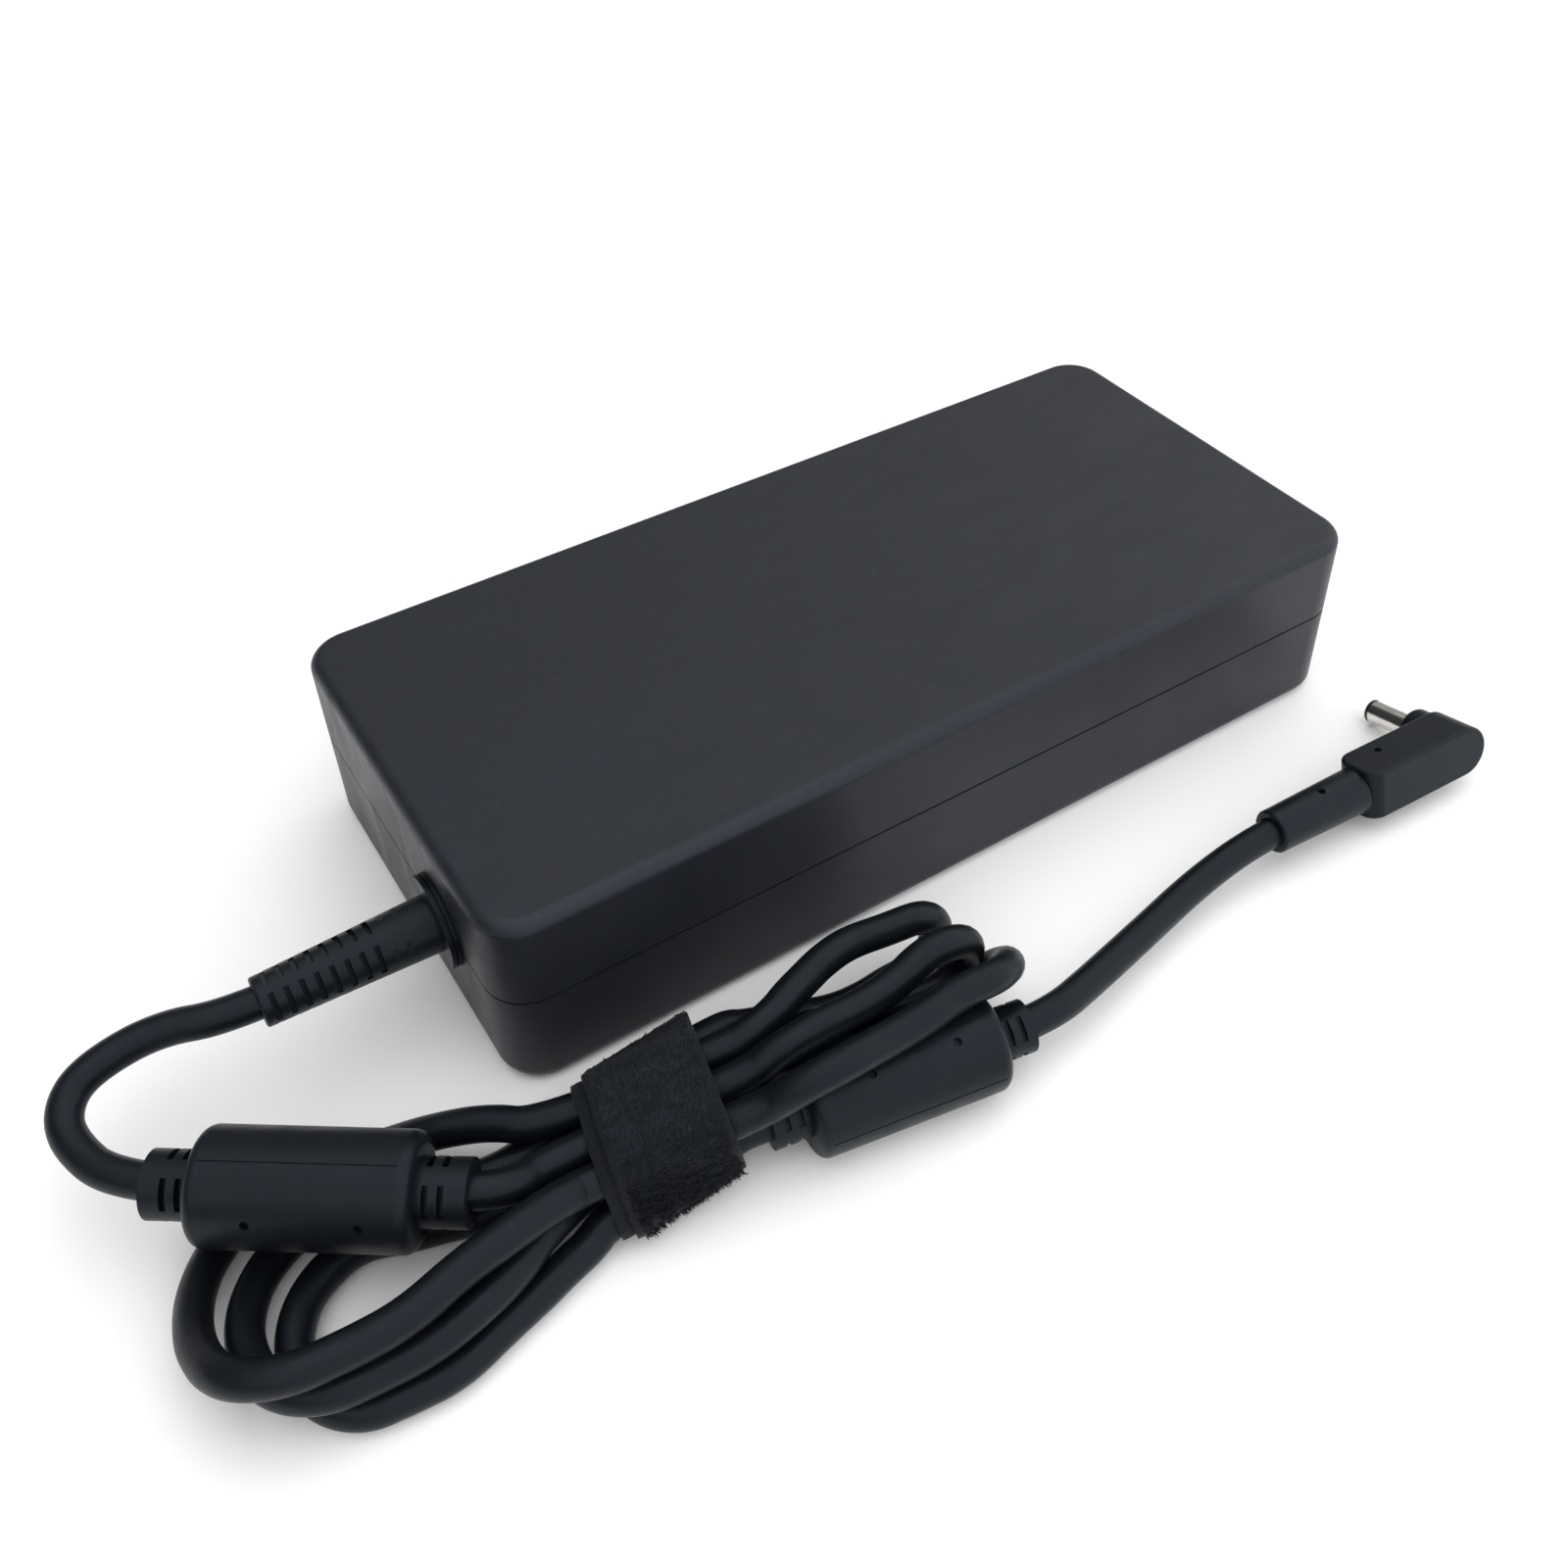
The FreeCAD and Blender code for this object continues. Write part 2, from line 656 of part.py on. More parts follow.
def mains_inlet():
    """The inlet housing with its six-sided socket, and three flat pins."""
    housing = box(
        "inlet_block",
        inlet_back,
        inlet_face,
        -inlet_width / 2,
        inlet_width / 2,
        inlet_middle - inlet_height / 2,
        inlet_middle + inlet_height / 2,
    )
    flange_end = case_end - wall - inlet_play
    flange = box(
        "inlet_flange",
        flange_end - inlet_flange_thick,
        flange_end,
        -inlet_width / 2 - inlet_flange,
        inlet_width / 2 + inlet_flange,
        inlet_middle - inlet_height / 2 - inlet_flange,
        inlet_middle + inlet_height / 2 + inlet_flange,
    )
    socket = doc.addObject("PartDesign::Body", "socket_space")
    side = socket_width / 2
    low = inlet_middle - socket_height / 2
    high = inlet_middle + socket_height / 2
    shape = outline(
        socket,
        "socket_outline",
        [
            (-side, low),
            (side, low),
            (side, high - socket_bevel),
            (side - socket_bevel, high),
            (-side + socket_bevel, high),
            (-side, high - socket_bevel),
        ],
        "YZ_Plane",
    )
    bind(shape, "AttachmentOffset.Base.z", inlet_face - socket_depth)
    pad(socket, "socket_pad", shape, socket_depth + 1)
    pins = []
    for name, across, rise in (
        ("line_pin", pin_spread, -1),
        ("neutral_pin", -pin_spread, -1),
        ("earth_pin", as_size(0), 1),
    ):
        middle = inlet_middle + pin_rise * rise
        pin = box(
            name,
            inlet_back - pin_tail,
            inlet_face - pin_set_back,
            across - pin_thick / 2,
            across + pin_thick / 2,
            middle - pin_tall / 2,
            middle + pin_tall / 2,
        )
        pins.append(keep(pin, name))
    solid = join("inlet_solid", [housing, flange])
    keep(cut("ac_inlet_housing", solid, [socket] + pins), "ac_inlet_housing")


def post_holes(name, radius, z0, z1):
    return [
        rod("%s_hole_%d" % (name, number), radius, as_size(z1) - z0, x, y, z0)
        for number, (x, y) in enumerate(post_places())
    ]


def board():
    plate = box("board_plate", -board_left, board_right, -board_half, board_half, board_under, board_top)
    holes = post_holes("board", peg_radius + peg_play, board_under - 1, board_top + 1)
    keep(cut("circuit_board", plate, holes), "circuit_board")


def heat_spreaders():
    """Two bent aluminium trays, one above and one below the board, with their insulation."""
    hole = post_radius + post_play
    inside = spreader_half - spreader_thick
    outer = box(
        "lower_spreader_outer",
        -spreader_left,
        spreader_right,
        -spreader_half,
        spreader_half,
        skin,
        spreader_meet,
    )
    space = box(
        "lower_spreader_space",
        -spreader_left - 1,
        spreader_right + 1,
        -inside,
        inside,
        skin + spreader_thick,
        spreader_meet + 1,
    )
    holes = post_holes("lower_spreader", hole, skin - 1, board_under)
    keep(cut("lower_heat_spreader", outer, [space] + holes), "lower_heat_spreader")
    outer = box(
        "upper_spreader_outer",
        -spreader_left,
        spreader_right,
        -spreader_half,
        spreader_half,
        spreader_meet,
        lid_top,
    )
    space = box(
        "upper_spreader_space",
        -spreader_left - 1,
        spreader_right + 1,
        -inside,
        inside,
        spreader_meet - 1,
        lid_under,
    )
    keep(cut("upper_heat_spreader", outer, [space]), "upper_heat_spreader")
    reach = inside - film_edge
    sheet_left = -spreader_left + 1
    sheet_right = spreader_right - 1
    low = skin + spreader_thick
    lower = box("lower_sheet", sheet_left, sheet_right, -reach, reach, low, low + film)
    holes = post_holes("lower_sheet", hole, skin, board_under)
    keep(cut("lower_insulation_sheet", lower, holes), "lower_insulation_sheet")
    upper = box("upper_insulation_sheet", sheet_left, sheet_right, -reach, reach, ceiling, lid_under)
    keep(upper, "upper_insulation_sheet")


def small_parts():
    """Fuse, surge absorber, capacitors, rectifier and chips that stand on the board."""
    keep(rod("fuse", fuse_radius, fuse_tall, fuse_x, fuse_y, board_top), "fuse")
    keep(
        rod(
            "surge_absorber",
            surge_radius,
            surge_thick,
            surge_x - surge_thick / 2,
            surge_y,
            board_top + surge_radius,
            "x",
        ),
        "surge_absorber",
    )
    keep(block("x_capacitor", xcap_x, xcap_y, board_top, xcap_length, xcap_width, xcap_tall), "x_capacitor")
    discs = [
        rod(
            "y_capacitor_%d" % number,
            ycap_radius,
            ycap_thick,
            ycap_x - ycap_thick / 2,
            ycap_y + ycap_pitch * number,
            board_top + ycap_radius,
            "x",
        )
        for number in range(2)
    ]
    keep(group("y_capacitors", discs), "y_capacitors")
    keep(
        block("bridge_rectifier", bridge_x, bridge_y, board_top, bridge_thick, bridge_wide, bridge_tall),
        "bridge_rectifier",
    )
    cans = [
        rod("bulk_%d" % number, bulk_radius, bulk_tall, bulk_x, bulk_y + bulk_pitch * (number - 0.5), board_top)
        for number in range(2)
    ]
    keep(group("bulk_capacitors", cans), "bulk_capacitors")
    cans = [
        rod("output_can_%d" % number, outcap_radius, outcap_tall, outcap_x, outcap_y - outcap_pitch * number, board_top)
        for number in range(3)
    ]
    keep(group("output_capacitors", cans), "output_capacitors")
    couplers = [
        block("coupler_%d" % number, opto_x + opto_pitch * number, opto_y, board_top, opto_length, opto_width, opto_tall)
        for number in range(2)
    ]
    keep(group("optocouplers", couplers), "optocouplers")
    chips = [
        block("chip_%d" % number, chip_x + chip_pitch * number, chip_y, board_top, chip_length, chip_width, chip_tall)
        for number in range(2)
    ]
    keep(group("control_chips", chips), "control_chips")


def transistor(name, middle, face, across):
    """A tabbed package on legs. across is +1 when its back faces -Y, 0 when it faces +X."""
    body_low = board_top + pack_legs
    parts = []

    def slab(label, offset, wide, near, far, low, high):
        if across:
            return box(
                label, middle + offset - wide / 2, middle + offset + wide / 2, face + near, face + far, low, high
            )
        return box(
            label, face - far, face - near, middle + offset - wide / 2, middle + offset + wide / 2, low, high
        )

    parts.append(slab(name + "_case", as_size(0), pack_wide, as_size(0), pack_thick, body_low, body_low + pack_tall))
    parts.append(
        slab(
            name + "_tab",
            as_size(0),
            pack_wide,
            as_size(0),
            tab_thick,
            body_low + pack_tall - 0.5,
            body_low + pack_tall + tab_tall,
        )
    )
    for number in (-1, 0, 1):
        parts.append(
            slab(
                "%s_leg_%d" % (name, number + 1),
                leg_pitch * number,
                leg_wide,
                tab_thick,
                tab_thick + leg_wide,
                board_top,
                body_low + 1,
            )
        )
    return join(name + "_solid", parts)


def power_stage():
    """Two heatsinks with their transistors, pads and screws."""
    screw_level = board_top + pack_legs + pack_tall + tab_tall / 2
    screws = []
    pads = []
    for side in ("primary", "secondary"):
        first = side == "primary"
        length = primary_sink_length if first else secondary_sink_length
        sink_x = primary_sink_x if first else secondary_sink_x
        sink_y = primary_sink_y if first else secondary_sink_y
        count = 3 if first else 2
        pitch = primary_pitch if first else secondary_pitch
        high = board_top + sink_tall
        if first:
            face = sink_y + sink_thick
            plate = box(
                side + "_plate", sink_x - length / 2, sink_x + length / 2, sink_y, face, board_top, high
            )
            foot = box(
                side + "_foot",
                sink_x - length / 2,
                sink_x + length / 2,
                sink_y - sink_foot,
                sink_y + 0.1,
                board_top,
                board_top + sink_thick,
            )
        else:
            face = sink_x - sink_thick
            plate = box(
                side + "_plate", face, sink_x, sink_y - length / 2, sink_y + length / 2, board_top, high
            )
            foot = box(
                side + "_foot",
                sink_x - 0.1,
                sink_x + 1,
                sink_y - length / 2,
                sink_y + length / 2,
                board_top,
                board_top + sink_thick,
            )
        holes = []
        packs = []
        for number in range(count):
            middle = (sink_x if first else sink_y) + pitch * (number - (count - 1) / 2)
            name = "%s_%d" % (side, number)
            mount = face + pad_thick if first else face - pad_thick
            pack = transistor(name, middle, mount, 1 if first else 0)
            low = board_top + pack_legs
            top = low + pack_tall + tab_tall
            if first:
                pads.append(
                    box(name + "_pad_slab", middle - pack_wide / 2, middle + pack_wide / 2, face, mount, low, top)
                )
                outside = mount + tab_thick
                start = outside - tab_thick - pad_thick - sink_thick
                shank = rod(name + "_shank", screw_radius, outside - start + 0.1, middle, start, screw_level, "y")
                head = rod(name + "_head", screw_head, screw_head_tall, middle, outside, screw_level, "y")
                hole = rod(
                    name + "_clearance",
                    screw_radius + screw_play,
                    outside - start + 2,
                    middle,
                    start - 1,
                    screw_level,
                    "y",
                )
            else:
                pads.append(
                    box(name + "_pad_slab", mount, face, middle - pack_wide / 2, middle + pack_wide / 2, low, top)
                )
                outside = mount - tab_thick
                end = sink_x
                shank = rod(name + "_shank", screw_radius, end - outside + 0.1, outside - 0.1, middle, screw_level, "x")
                head = rod(
                    name + "_head", screw_head, screw_head_tall, outside - screw_head_tall, middle, screw_level, "x"
                )
                hole = rod(
                    name + "_clearance",
                    screw_radius + screw_play,
                    end - outside + 2,
                    outside - 1,
                    middle,
                    screw_level,
                    "x",
                )
            holes.append(hole)
            packs.append(cut(name + "_package", pack, [hole]))
            screws.append(join(name + "_screw", [shank, head]))
            pads[-1] = cut(name + "_pad", pads[-1], [hole])
        keep(cut(side + "_heatsink", join(side + "_sink", [plate, foot]), holes), side + "_heatsink")
        label = "primary_transistors" if first else "output_rectifiers"
        keep(group(label, packs), label)
    keep(group("thermal_pads", pads), "thermal_pads")
    keep(group("heatsink_screws", screws), "heatsink_screws")


def wound_core(name, plan, bobbin_name):
    """A core with two windows, a bobbin standing on the board, and a winding on it."""
    x = plan["x"]
    y = plan["y"]
    sleeve_y = plan["leg_wide"] / 2 + bobbin_play + bobbin_wall
    sleeve_z = plan["leg_tall"] / 2 + bobbin_play + bobbin_wall
    window = plan["length"] / 2 - plan["yoke"]
    reach = sleeve_z + plan["build"]
    middle = board_top + reach + plan["flange"]
    side = plan["width"] / 2
    post = plan["leg_wide"] / 2
    low = middle - plan["leg_tall"] / 2
    high = middle + plan["leg_tall"] / 2
    solid = box(name + "_block", x - plan["length"] / 2, x + plan["length"] / 2, y - side, y + side, low, high)
    openings = []
    for number, (near, far) in enumerate(((post, side - plan["yoke"]), (plan["yoke"] - side, -post))):
        openings.append(
            box(
                "%s_window_%d" % (name, number),
                x - window,
                x + window,
                y + near,
                y + far,
                low - 1,
                high + 1,
            )
        )
    keep(cut(name + "_core", solid, openings), name + "_core")
    edge = side - plan["yoke"] - bobbin_play
    span = window - bobbin_play
    winding_side = edge - plan["flange"]
    sleeve = box(
        name + "_sleeve", x - span, x + span, y - sleeve_y, y + sleeve_y, middle - sleeve_z, middle + sleeve_z
    )
    flanges = [
        box(
            "%s_flange_%d" % (name, number),
            x + start,
            x + start + plan["flange"],
            y - edge,
            y + edge,
            board_top,
            middle + reach,
        )
        for number, start in enumerate((-span, span - plan["flange"]))
    ]
    leg_hole = box(
        name + "_leg_hole",
        x - span - 1,
        x + span + 1,
        y - post - bobbin_play,
        y + post + bobbin_play,
        low - bobbin_play,
        high + bobbin_play,
    )
    keep(cut(bobbin_name, join(name + "_frame", [sleeve] + flanges), [leg_hole]), bobbin_name)
    copper = box(
        name + "_coil",
        x - span + plan["flange"],
        x + span - plan["flange"],
        y - winding_side,
        y + winding_side,
        middle - sleeve_z - plan["build"],
        middle + sleeve_z + plan["build"],
    )
    keep(cut(name + "_winding", copper, [sleeve]), name + "_winding")
    return middle + reach


def wound_parts():
    wound_core("line_choke", line_choke, "line_choke_bobbin")
    wound_core("boost_choke", boost_choke, "boost_choke_bobbin")
    top = wound_core("transformer", transformer, "transformer_bobbin")
    keep(
        block(
            "transformer_pad",
            transformer["x"],
            transformer["y"],
            top,
            transformer["length"] - transformer["yoke"] * 2 - 4,
            transformer["leg_wide"] * 2,
            ceiling - top,
        ),
        "transformer_pad",
    )
    level = board_top + toroid_wire
    core = ring("output_choke_core", toroid_outer, toroid_inner, toroid_tall, toroid_x, toroid_y, level)
    keep(core, "output_choke_core")
    coat = ring(
        "output_choke_coat",
        toroid_outer + toroid_wire,
        toroid_inner - toroid_wire,
        toroid_tall + toroid_wire * 2,
        toroid_x,
        toroid_y,
        board_top,
    )
    space = ring(
        "output_choke_space",
        toroid_outer + toroid_play,
        toroid_inner - toroid_play,
        toroid_tall + toroid_play * 2,
        toroid_x,
        toroid_y,
        level - toroid_play,
    )
    keep(cut("output_choke_winding", coat, [space]), "output_choke_winding")


def slot_rows_on(body, base, name, start, floor, count, pitch, width, reach, turn, depth, rows=slot_rows):
    """Cuts rows of slots round the X axis. Each row is count slots, pitch apart."""
    sketch = outline(
        body,
        name + "_outline",
        [
            (start - width / 2, -reach / 2),
            (start + width / 2, -reach / 2),
            (start + width / 2, reach / 2),
            (start - width / 2, reach / 2),
        ],
    )
    bind(sketch, "AttachmentOffset.Rotation.Angle", turn)
    sketch.AttachmentOffset = Placement(Vector(), Rotation(Vector(1, 0, 0), turn.value))
    bind(sketch, "AttachmentOffset.Base.y", -(floor * sine(turn)))
    bind(sketch, "AttachmentOffset.Base.z", floor * cosine(turn))
    pocket = body.newObject("PartDesign::Pocket", name)
    pocket.Profile = sketch
    bind(pocket, "Length", depth)
    pocket.Reversed = True
    doc.recompute()
    before = base.Shape.Volume
    rows_round = doc.addObject("PartDesign::PolarPattern", name + "_round")
    rows_round.Axis = (origin_item(body, "X_Axis"), [""])
    rows_round.Angle = 360
    rows_round.Occurrences = rows
    steps = [rows_round]
    if count > 1:
        along = doc.addObject("PartDesign::LinearPattern", name + "_along")
        along.Direction = (origin_item(body, "X_Axis"), [""])
        bind(along, "Length", pitch * (count - 1))
        along.Occurrences = count
        steps.insert(0, along)
    pattern = body.newObject("PartDesign::MultiTransform", name + "_rows")
    pattern.Originals = [pocket]
    pattern.Transformations = steps
    body.Tip = pattern
    doc.recompute()
    if pattern.Shape.Volume > before - 0.01:
        raise RuntimeError(name + " cut nothing")
    return pattern


def strain_relief():
    """The moulded boot in the end wall. Its own X axis runs out along the cord."""
    body = doc.addObject("PartDesign::Body", "dc_strain_relief")
    bore = cord_radius + bore_play
    back = -wall - neck_play
    first = as_size(neck_play)
    lips = [
        (first, neck_radius),
        (first, lip_radius),
        (first + lip_thick, lip_radius),
        (first + lip_thick, lip_groove),
        (first + lip_thick + lip_space, lip_groove),
        (first + lip_thick + lip_space, lip_radius),
        (first + lip_thick * 2 + lip_space, lip_radius),
    ]
    points = [(back - back_flange_thick, bore), (back - back_flange_thick, back_flange)]
    points += [(back, back_flange), (back, neck_radius)] + lips
    points += [(first + lip_thick * 2 + lip_space, boot_root), (boot_length, boot_tip), (boot_length, bore)]
    base = turned(body, "boot_turned", outline(body, "boot_profile", points))
    done = rounded(body, "boot_tip_edge", base, 0.5, circle_at(boot_length, boot_tip))
    rows_done = slot_rows_on(
        body, done, "boot_slots", slot_start, slot_floor, slot_count, slot_pitch, slot_width, slot_reach, slot_turn,
        boot_root * 2,
    )
    slot_rows_on(
        body,
        rows_done,
        "boot_marks",
        slot_start - slot_pitch * shallow_count,
        boot_root - shallow_depth,
        shallow_count,
        slot_pitch,
        slot_width,
        slot_reach,
        slot_turn,
        boot_root * 2,
    )
    place(body, -case_end, outlet_y, outlet_z, 180, 0, 0)
    keep(body, "dc_strain_relief")
    inside = rod(
        "cord_in_strain_relief",
        cord_radius,
        boot_length - cord_overlap + wall * 2,
        -case_end - boot_length + cord_overlap,
        outlet_y,
        outlet_z,
        "x",
    )
    keep(inside, "cord_in_strain_relief")


def ferrite(name, plan):
    """A moulded bulge with slotted ends, the ferrite core inside it and the cord through both."""
    body = doc.addObject("PartDesign::Body", name + "_cover")
    bore = cord_radius + bore_play
    end = plan["half"] + plan["relief"]
    points = [
        (-end, bore),
        (-end, plan["neck"]),
        (-plan["half"], plan["neck"]),
        (-plan["half"], plan["radius"]),
        (plan["half"], plan["radius"]),
        (plan["half"], plan["neck"]),
        (end, plan["neck"]),
        (end, bore),
    ]
    base = turned(body, name + "_turned", outline(body, name + "_profile", points))

    def outer_edges(edge):
        for spot in (-plan["half"], plan["half"]):
            if circle_at(spot, plan["radius"])(edge):
                return True
        return False

    base = rounded(body, name + "_edges", base, plan["edge"], outer_edges)
    inner = bore + core_wall
    room = [
        (-plan["core_half"] - core_play, inner),
        (-plan["core_half"] - core_play, plan["core"] + core_play),
        (plan["core_half"] + core_play, plan["core"] + core_play),
        (plan["core_half"] + core_play, inner),
    ]
    base = turned(body, name + "_core_room", outline(body, name + "_room", room), "Groove")
    for side in (-1, 1):
        first = (plan["half"] + relief_first) * side
        if side < 0:
            first = first - relief_pitch
        base = slot_rows_on(
            body,
            base,
            "%s_relief_%s" % (name, "front" if side > 0 else "back"),
            first,
            relief_floor,
            2,
            relief_pitch,
            relief_slot,
            plan["neck"] * 0.95,
            plan["turn"],
            plan["neck"] * 2,
        )
    slot_rows_on(
        body,
        base,
        name + "_parting",
        as_size(0),
        plan["radius"] - parting_depth,
        1,
        relief_pitch,
        plan["half"] * 2 - plan["edge"] * 2,
        parting_width,
        plan["parting"],
        parting_depth * 4,
        2,
    )
    marks = blank_sketch(body, name + "_dimple_outline")
    for number, side in enumerate((-1, 1)):
        place_along = plan["dimple"] / 2 * side + plan["shift"]
        middle = Vector(place_along.value, 0, 0)
        marks.addGeometry(Part.Circle(middle, Vector(0, 0, 1), dimple_radius.value), False)
        pin_vertex(marks, number, 3, place_along, 0)
        rule = Sketcher.Constraint("Radius", number, dimple_radius.value)
        marks.setExpression("Constraints[%d]" % marks.addConstraint(rule), dimple_radius.text)
    bind(marks, "AttachmentOffset.Base.z", plan["radius"] - dimple_depth)
    dimples = body.newObject("PartDesign::Pocket", name + "_dimples")
    dimples.Profile = marks
    bind(dimples, "Length", dimple_depth * 2)
    dimples.Reversed = True
    place(body, plan["x"], plan["y"], plan["z"], plan["yaw"], 0, plan["roll"])
    keep(body, name + "_cover")
    core_length = plan["core_half"] * 2
    core = ring(name + "_core_ring", plan["core"], inner + core_play, core_length, 0, 0, 0, "x")
    shift_x = plan["x"] - plan["core_half"] * cosine(plan["yaw"])
    shift_y = plan["y"] - plan["core_half"] * sine(plan["yaw"])
    place(core, shift_x, shift_y, plan["z"], plan["yaw"], 0, 0)
    keep(core, name + "_core")
    inside = doc.addObject("Part::Cylinder", "cord_in_" + name)
    bind(inside, "Radius", cord_radius)
    bind(inside, "Height", plan["half"] * 2)
    start_x = plan["x"] - plan["half"] * cosine(plan["yaw"])
    start_y = plan["y"] - plan["half"] * sine(plan["yaw"])
    place(inside, start_x, start_y, plan["z"], plan["yaw"], 90, 0)
    keep(inside, "cord_in_" + name)


def plug():
    """The right-angle plug. Its own frame has X away from the cord and Y out through the barrel."""

    def set_down(thing):
        return place(thing, plug_x, plug_y, plug_z, plug_yaw, 0, -plug_roll)

    body = doc.addObject("PartDesign::Body", "plug_shell")
    sketch = blank_sketch(body, "plug_side", "XZ_Plane")
    reach = plug_reach.value
    tall = plug_radius.value
    sketch.addGeometry(Part.LineSegment(Vector(-reach, tall, 0), Vector(-reach, -tall, 0)), False)
    sketch.addGeometry(Part.LineSegment(Vector(-reach, -tall, 0), Vector(0, -tall, 0)), False)
    end_arc = Part.ArcOfCircle(Part.Circle(Vector(), Vector(0, 0, 1), tall), -math.pi / 2, math.pi / 2)
    sketch.addGeometry(end_arc, False)
    sketch.addGeometry(Part.LineSegment(Vector(0, tall, 0), Vector(-reach, tall, 0)), False)
    for first, second in ((0, 1), (1, 2), (2, 3), (3, 0)):
        sketch.addConstraint(Sketcher.Constraint("Coincident", first, 2, second, 1))
    sketch.addConstraint(Sketcher.Constraint("Coincident", 2, 3, -1, 1))
    pin_vertex(sketch, 0, 1, -plug_reach, plug_radius)
    pin_vertex(sketch, 1, 1, -plug_reach, -plug_radius)
    pin_vertex(sketch, 3, 1, 0, plug_radius)
    sketch.addConstraint(Sketcher.Constraint("PointOnObject", 1, 2, -2))
    base = pad(body, "plug_pad", sketch, plug_depth, True)
    base = rounded(body, "plug_corners", base, plug_corner, upright)

    def rim(edge):
        middle = edge.CenterOfMass
        return abs(middle.y) < 1e-6 or abs(middle.y - plug_depth.value) < 1e-6

    rounded(body, "plug_edges", base, plug_edge, rim)
    collar_body = doc.addObject("PartDesign::Body", "collar_shell")
    half = collar_radius
    profile = outline(
        collar_body,
        "collar_profile",
        [(plug_depth - 2, 0), (plug_depth + collar_length, 0), (plug_depth + collar_length, half), (plug_depth - 2, half)],
    )
    collar_base = turned(collar_body, "collar_turned", profile)
    rounded(
        collar_body, "collar_edge", collar_base, collar_edge, circle_at(plug_depth + collar_length, collar_radius)
    )
    place(collar_body, 0, 0, 0, 90, 0, 0)
    bore = cord_radius + bore_play
    cord_hole = rod(
        "plug_cord_hole", bore, cord_in_body + 1, -plug_reach - 1, plug_depth / 2, 0, "x"
    )
    barrel_end = plug_depth + collar_length + barrel_length
    collar_end = plug_depth + collar_length
    barrel_hole = rod("plug_barrel_hole", root_radius, barrel_end, 0, barrel_root, 0, "y")
    body_dimple = rod(
        "plug_body_dimple",
        dimple_radius,
        plug_dimple_depth * 2,
        -body_dimple_back,
        body_dimple_side,
        plug_radius - plug_dimple_depth,
    )
    shell = cut("plug_body", join("plug_solid", [body, collar_body]), [cord_hole, barrel_hole, body_dimple])
    keep(set_down(shell), "plug_body")
    root_length = collar_end - barrel_root
    bored_from = collar_end + barrel_web
    barrel_solid = join(
        "barrel_solid",
        [
            rod("barrel_tube", barrel_radius, barrel_length - tip_length, 0, collar_end, 0, "y"),
            rod("barrel_root", root_radius, root_length, 0, barrel_root, 0, "y"),
        ],
    )
    barrel_bores = [
        rod("barrel_bore", barrel_radius - barrel_wall, barrel_length, 0, bored_from, 0, "y"),
        rod("barrel_root_bore", root_radius - root_wall, barrel_end, 0, barrel_root, 0, "y"),
    ]
    keep(set_down(cut("plug_barrel", barrel_solid, barrel_bores)), "plug_barrel")
    contact_outer = contact_bore + contact_wall
    lining = rod("lining", barrel_radius - barrel_wall, barrel_length - barrel_web, 0, bored_from, 0, "y")
    lining_root = rod("lining_root", root_radius - root_wall, root_length + barrel_web, 0, barrel_root, 0, "y")
    tip = rod("lining_tip", barrel_radius, tip_length, 0, barrel_end - tip_length, 0, "y")
    lining_bore = rod("lining_bore", contact_outer, barrel_end, 0, barrel_root - 1, 0, "y")
    insulator = cut("plug_insulator", join("lining_solid", [lining, lining_root, tip]), [lining_bore])
    keep(set_down(insulator), "plug_insulator")
    contact_length = barrel_end - barrel_root - contact_sink
    contact = ring("plug_inner_contact", contact_outer, contact_bore, contact_length, 0, barrel_root, 0, "y")
    keep(set_down(contact), "plug_inner_contact")
    sleeve = doc.addObject("PartDesign::Body", "sleeve_shell")
    start = -plug_reach - sleeve_length
    points = [
        (start, bore),
        (start, sleeve_radius - sleeve_taper),
        (-plug_reach, sleeve_radius),
        (-plug_reach, bore),
    ]
    base = turned(sleeve, "sleeve_turned", outline(sleeve, "sleeve_profile", points))
    rounded(sleeve, "sleeve_edge", base, sleeve_edge, circle_at(start, sleeve_radius - sleeve_taper))
    place(sleeve, 0, plug_depth / 2, 0)
    sleeve_dimple = rod(
        "plug_sleeve_dimple",
        dimple_radius,
        plug_dimple_depth * 2,
        -sleeve_dimple_back,
        sleeve_dimple_side,
        sleeve_radius - plug_dimple_depth - 0.2,
    )
    keep(set_down(cut("plug_strain_relief", sleeve, [sleeve_dimple])), "plug_strain_relief")
    inside = rod(
        "cord_in_plug_rod",
        cord_radius,
        sleeve_length - cord_overlap + cord_in_body,
        start + cord_overlap,
        plug_depth / 2,
        0,
        "x",
    )
    keep(set_down(group("cord_in_plug", [inside])), "cord_in_plug")


def unit(vector):
    return vector * (1 / vector.Length)


def tube(edges, name):
    """One unbroken round solid along joined edges. Its volume is compared with section times length."""
    wire = Part.Wire(edges)
    start = edges[0].valueAt(edges[0].FirstParameter)
    heading = edges[0].tangentAt(edges[0].FirstParameter)
    profile = Part.Wire([Part.makeCircle(cord_radius.value, start, heading)])
    solid = wire.makePipeShell([profile], True, False)
    expected = math.pi * cord_radius.value ** 2 * wire.Length
    print(name, "length %.1f mm, volume over section x length %.4f" % (wire.Length, solid.Volume / expected))
    feature = doc.addObject("Part::Feature", name)
    feature.Shape = solid
    return keep(feature, name)


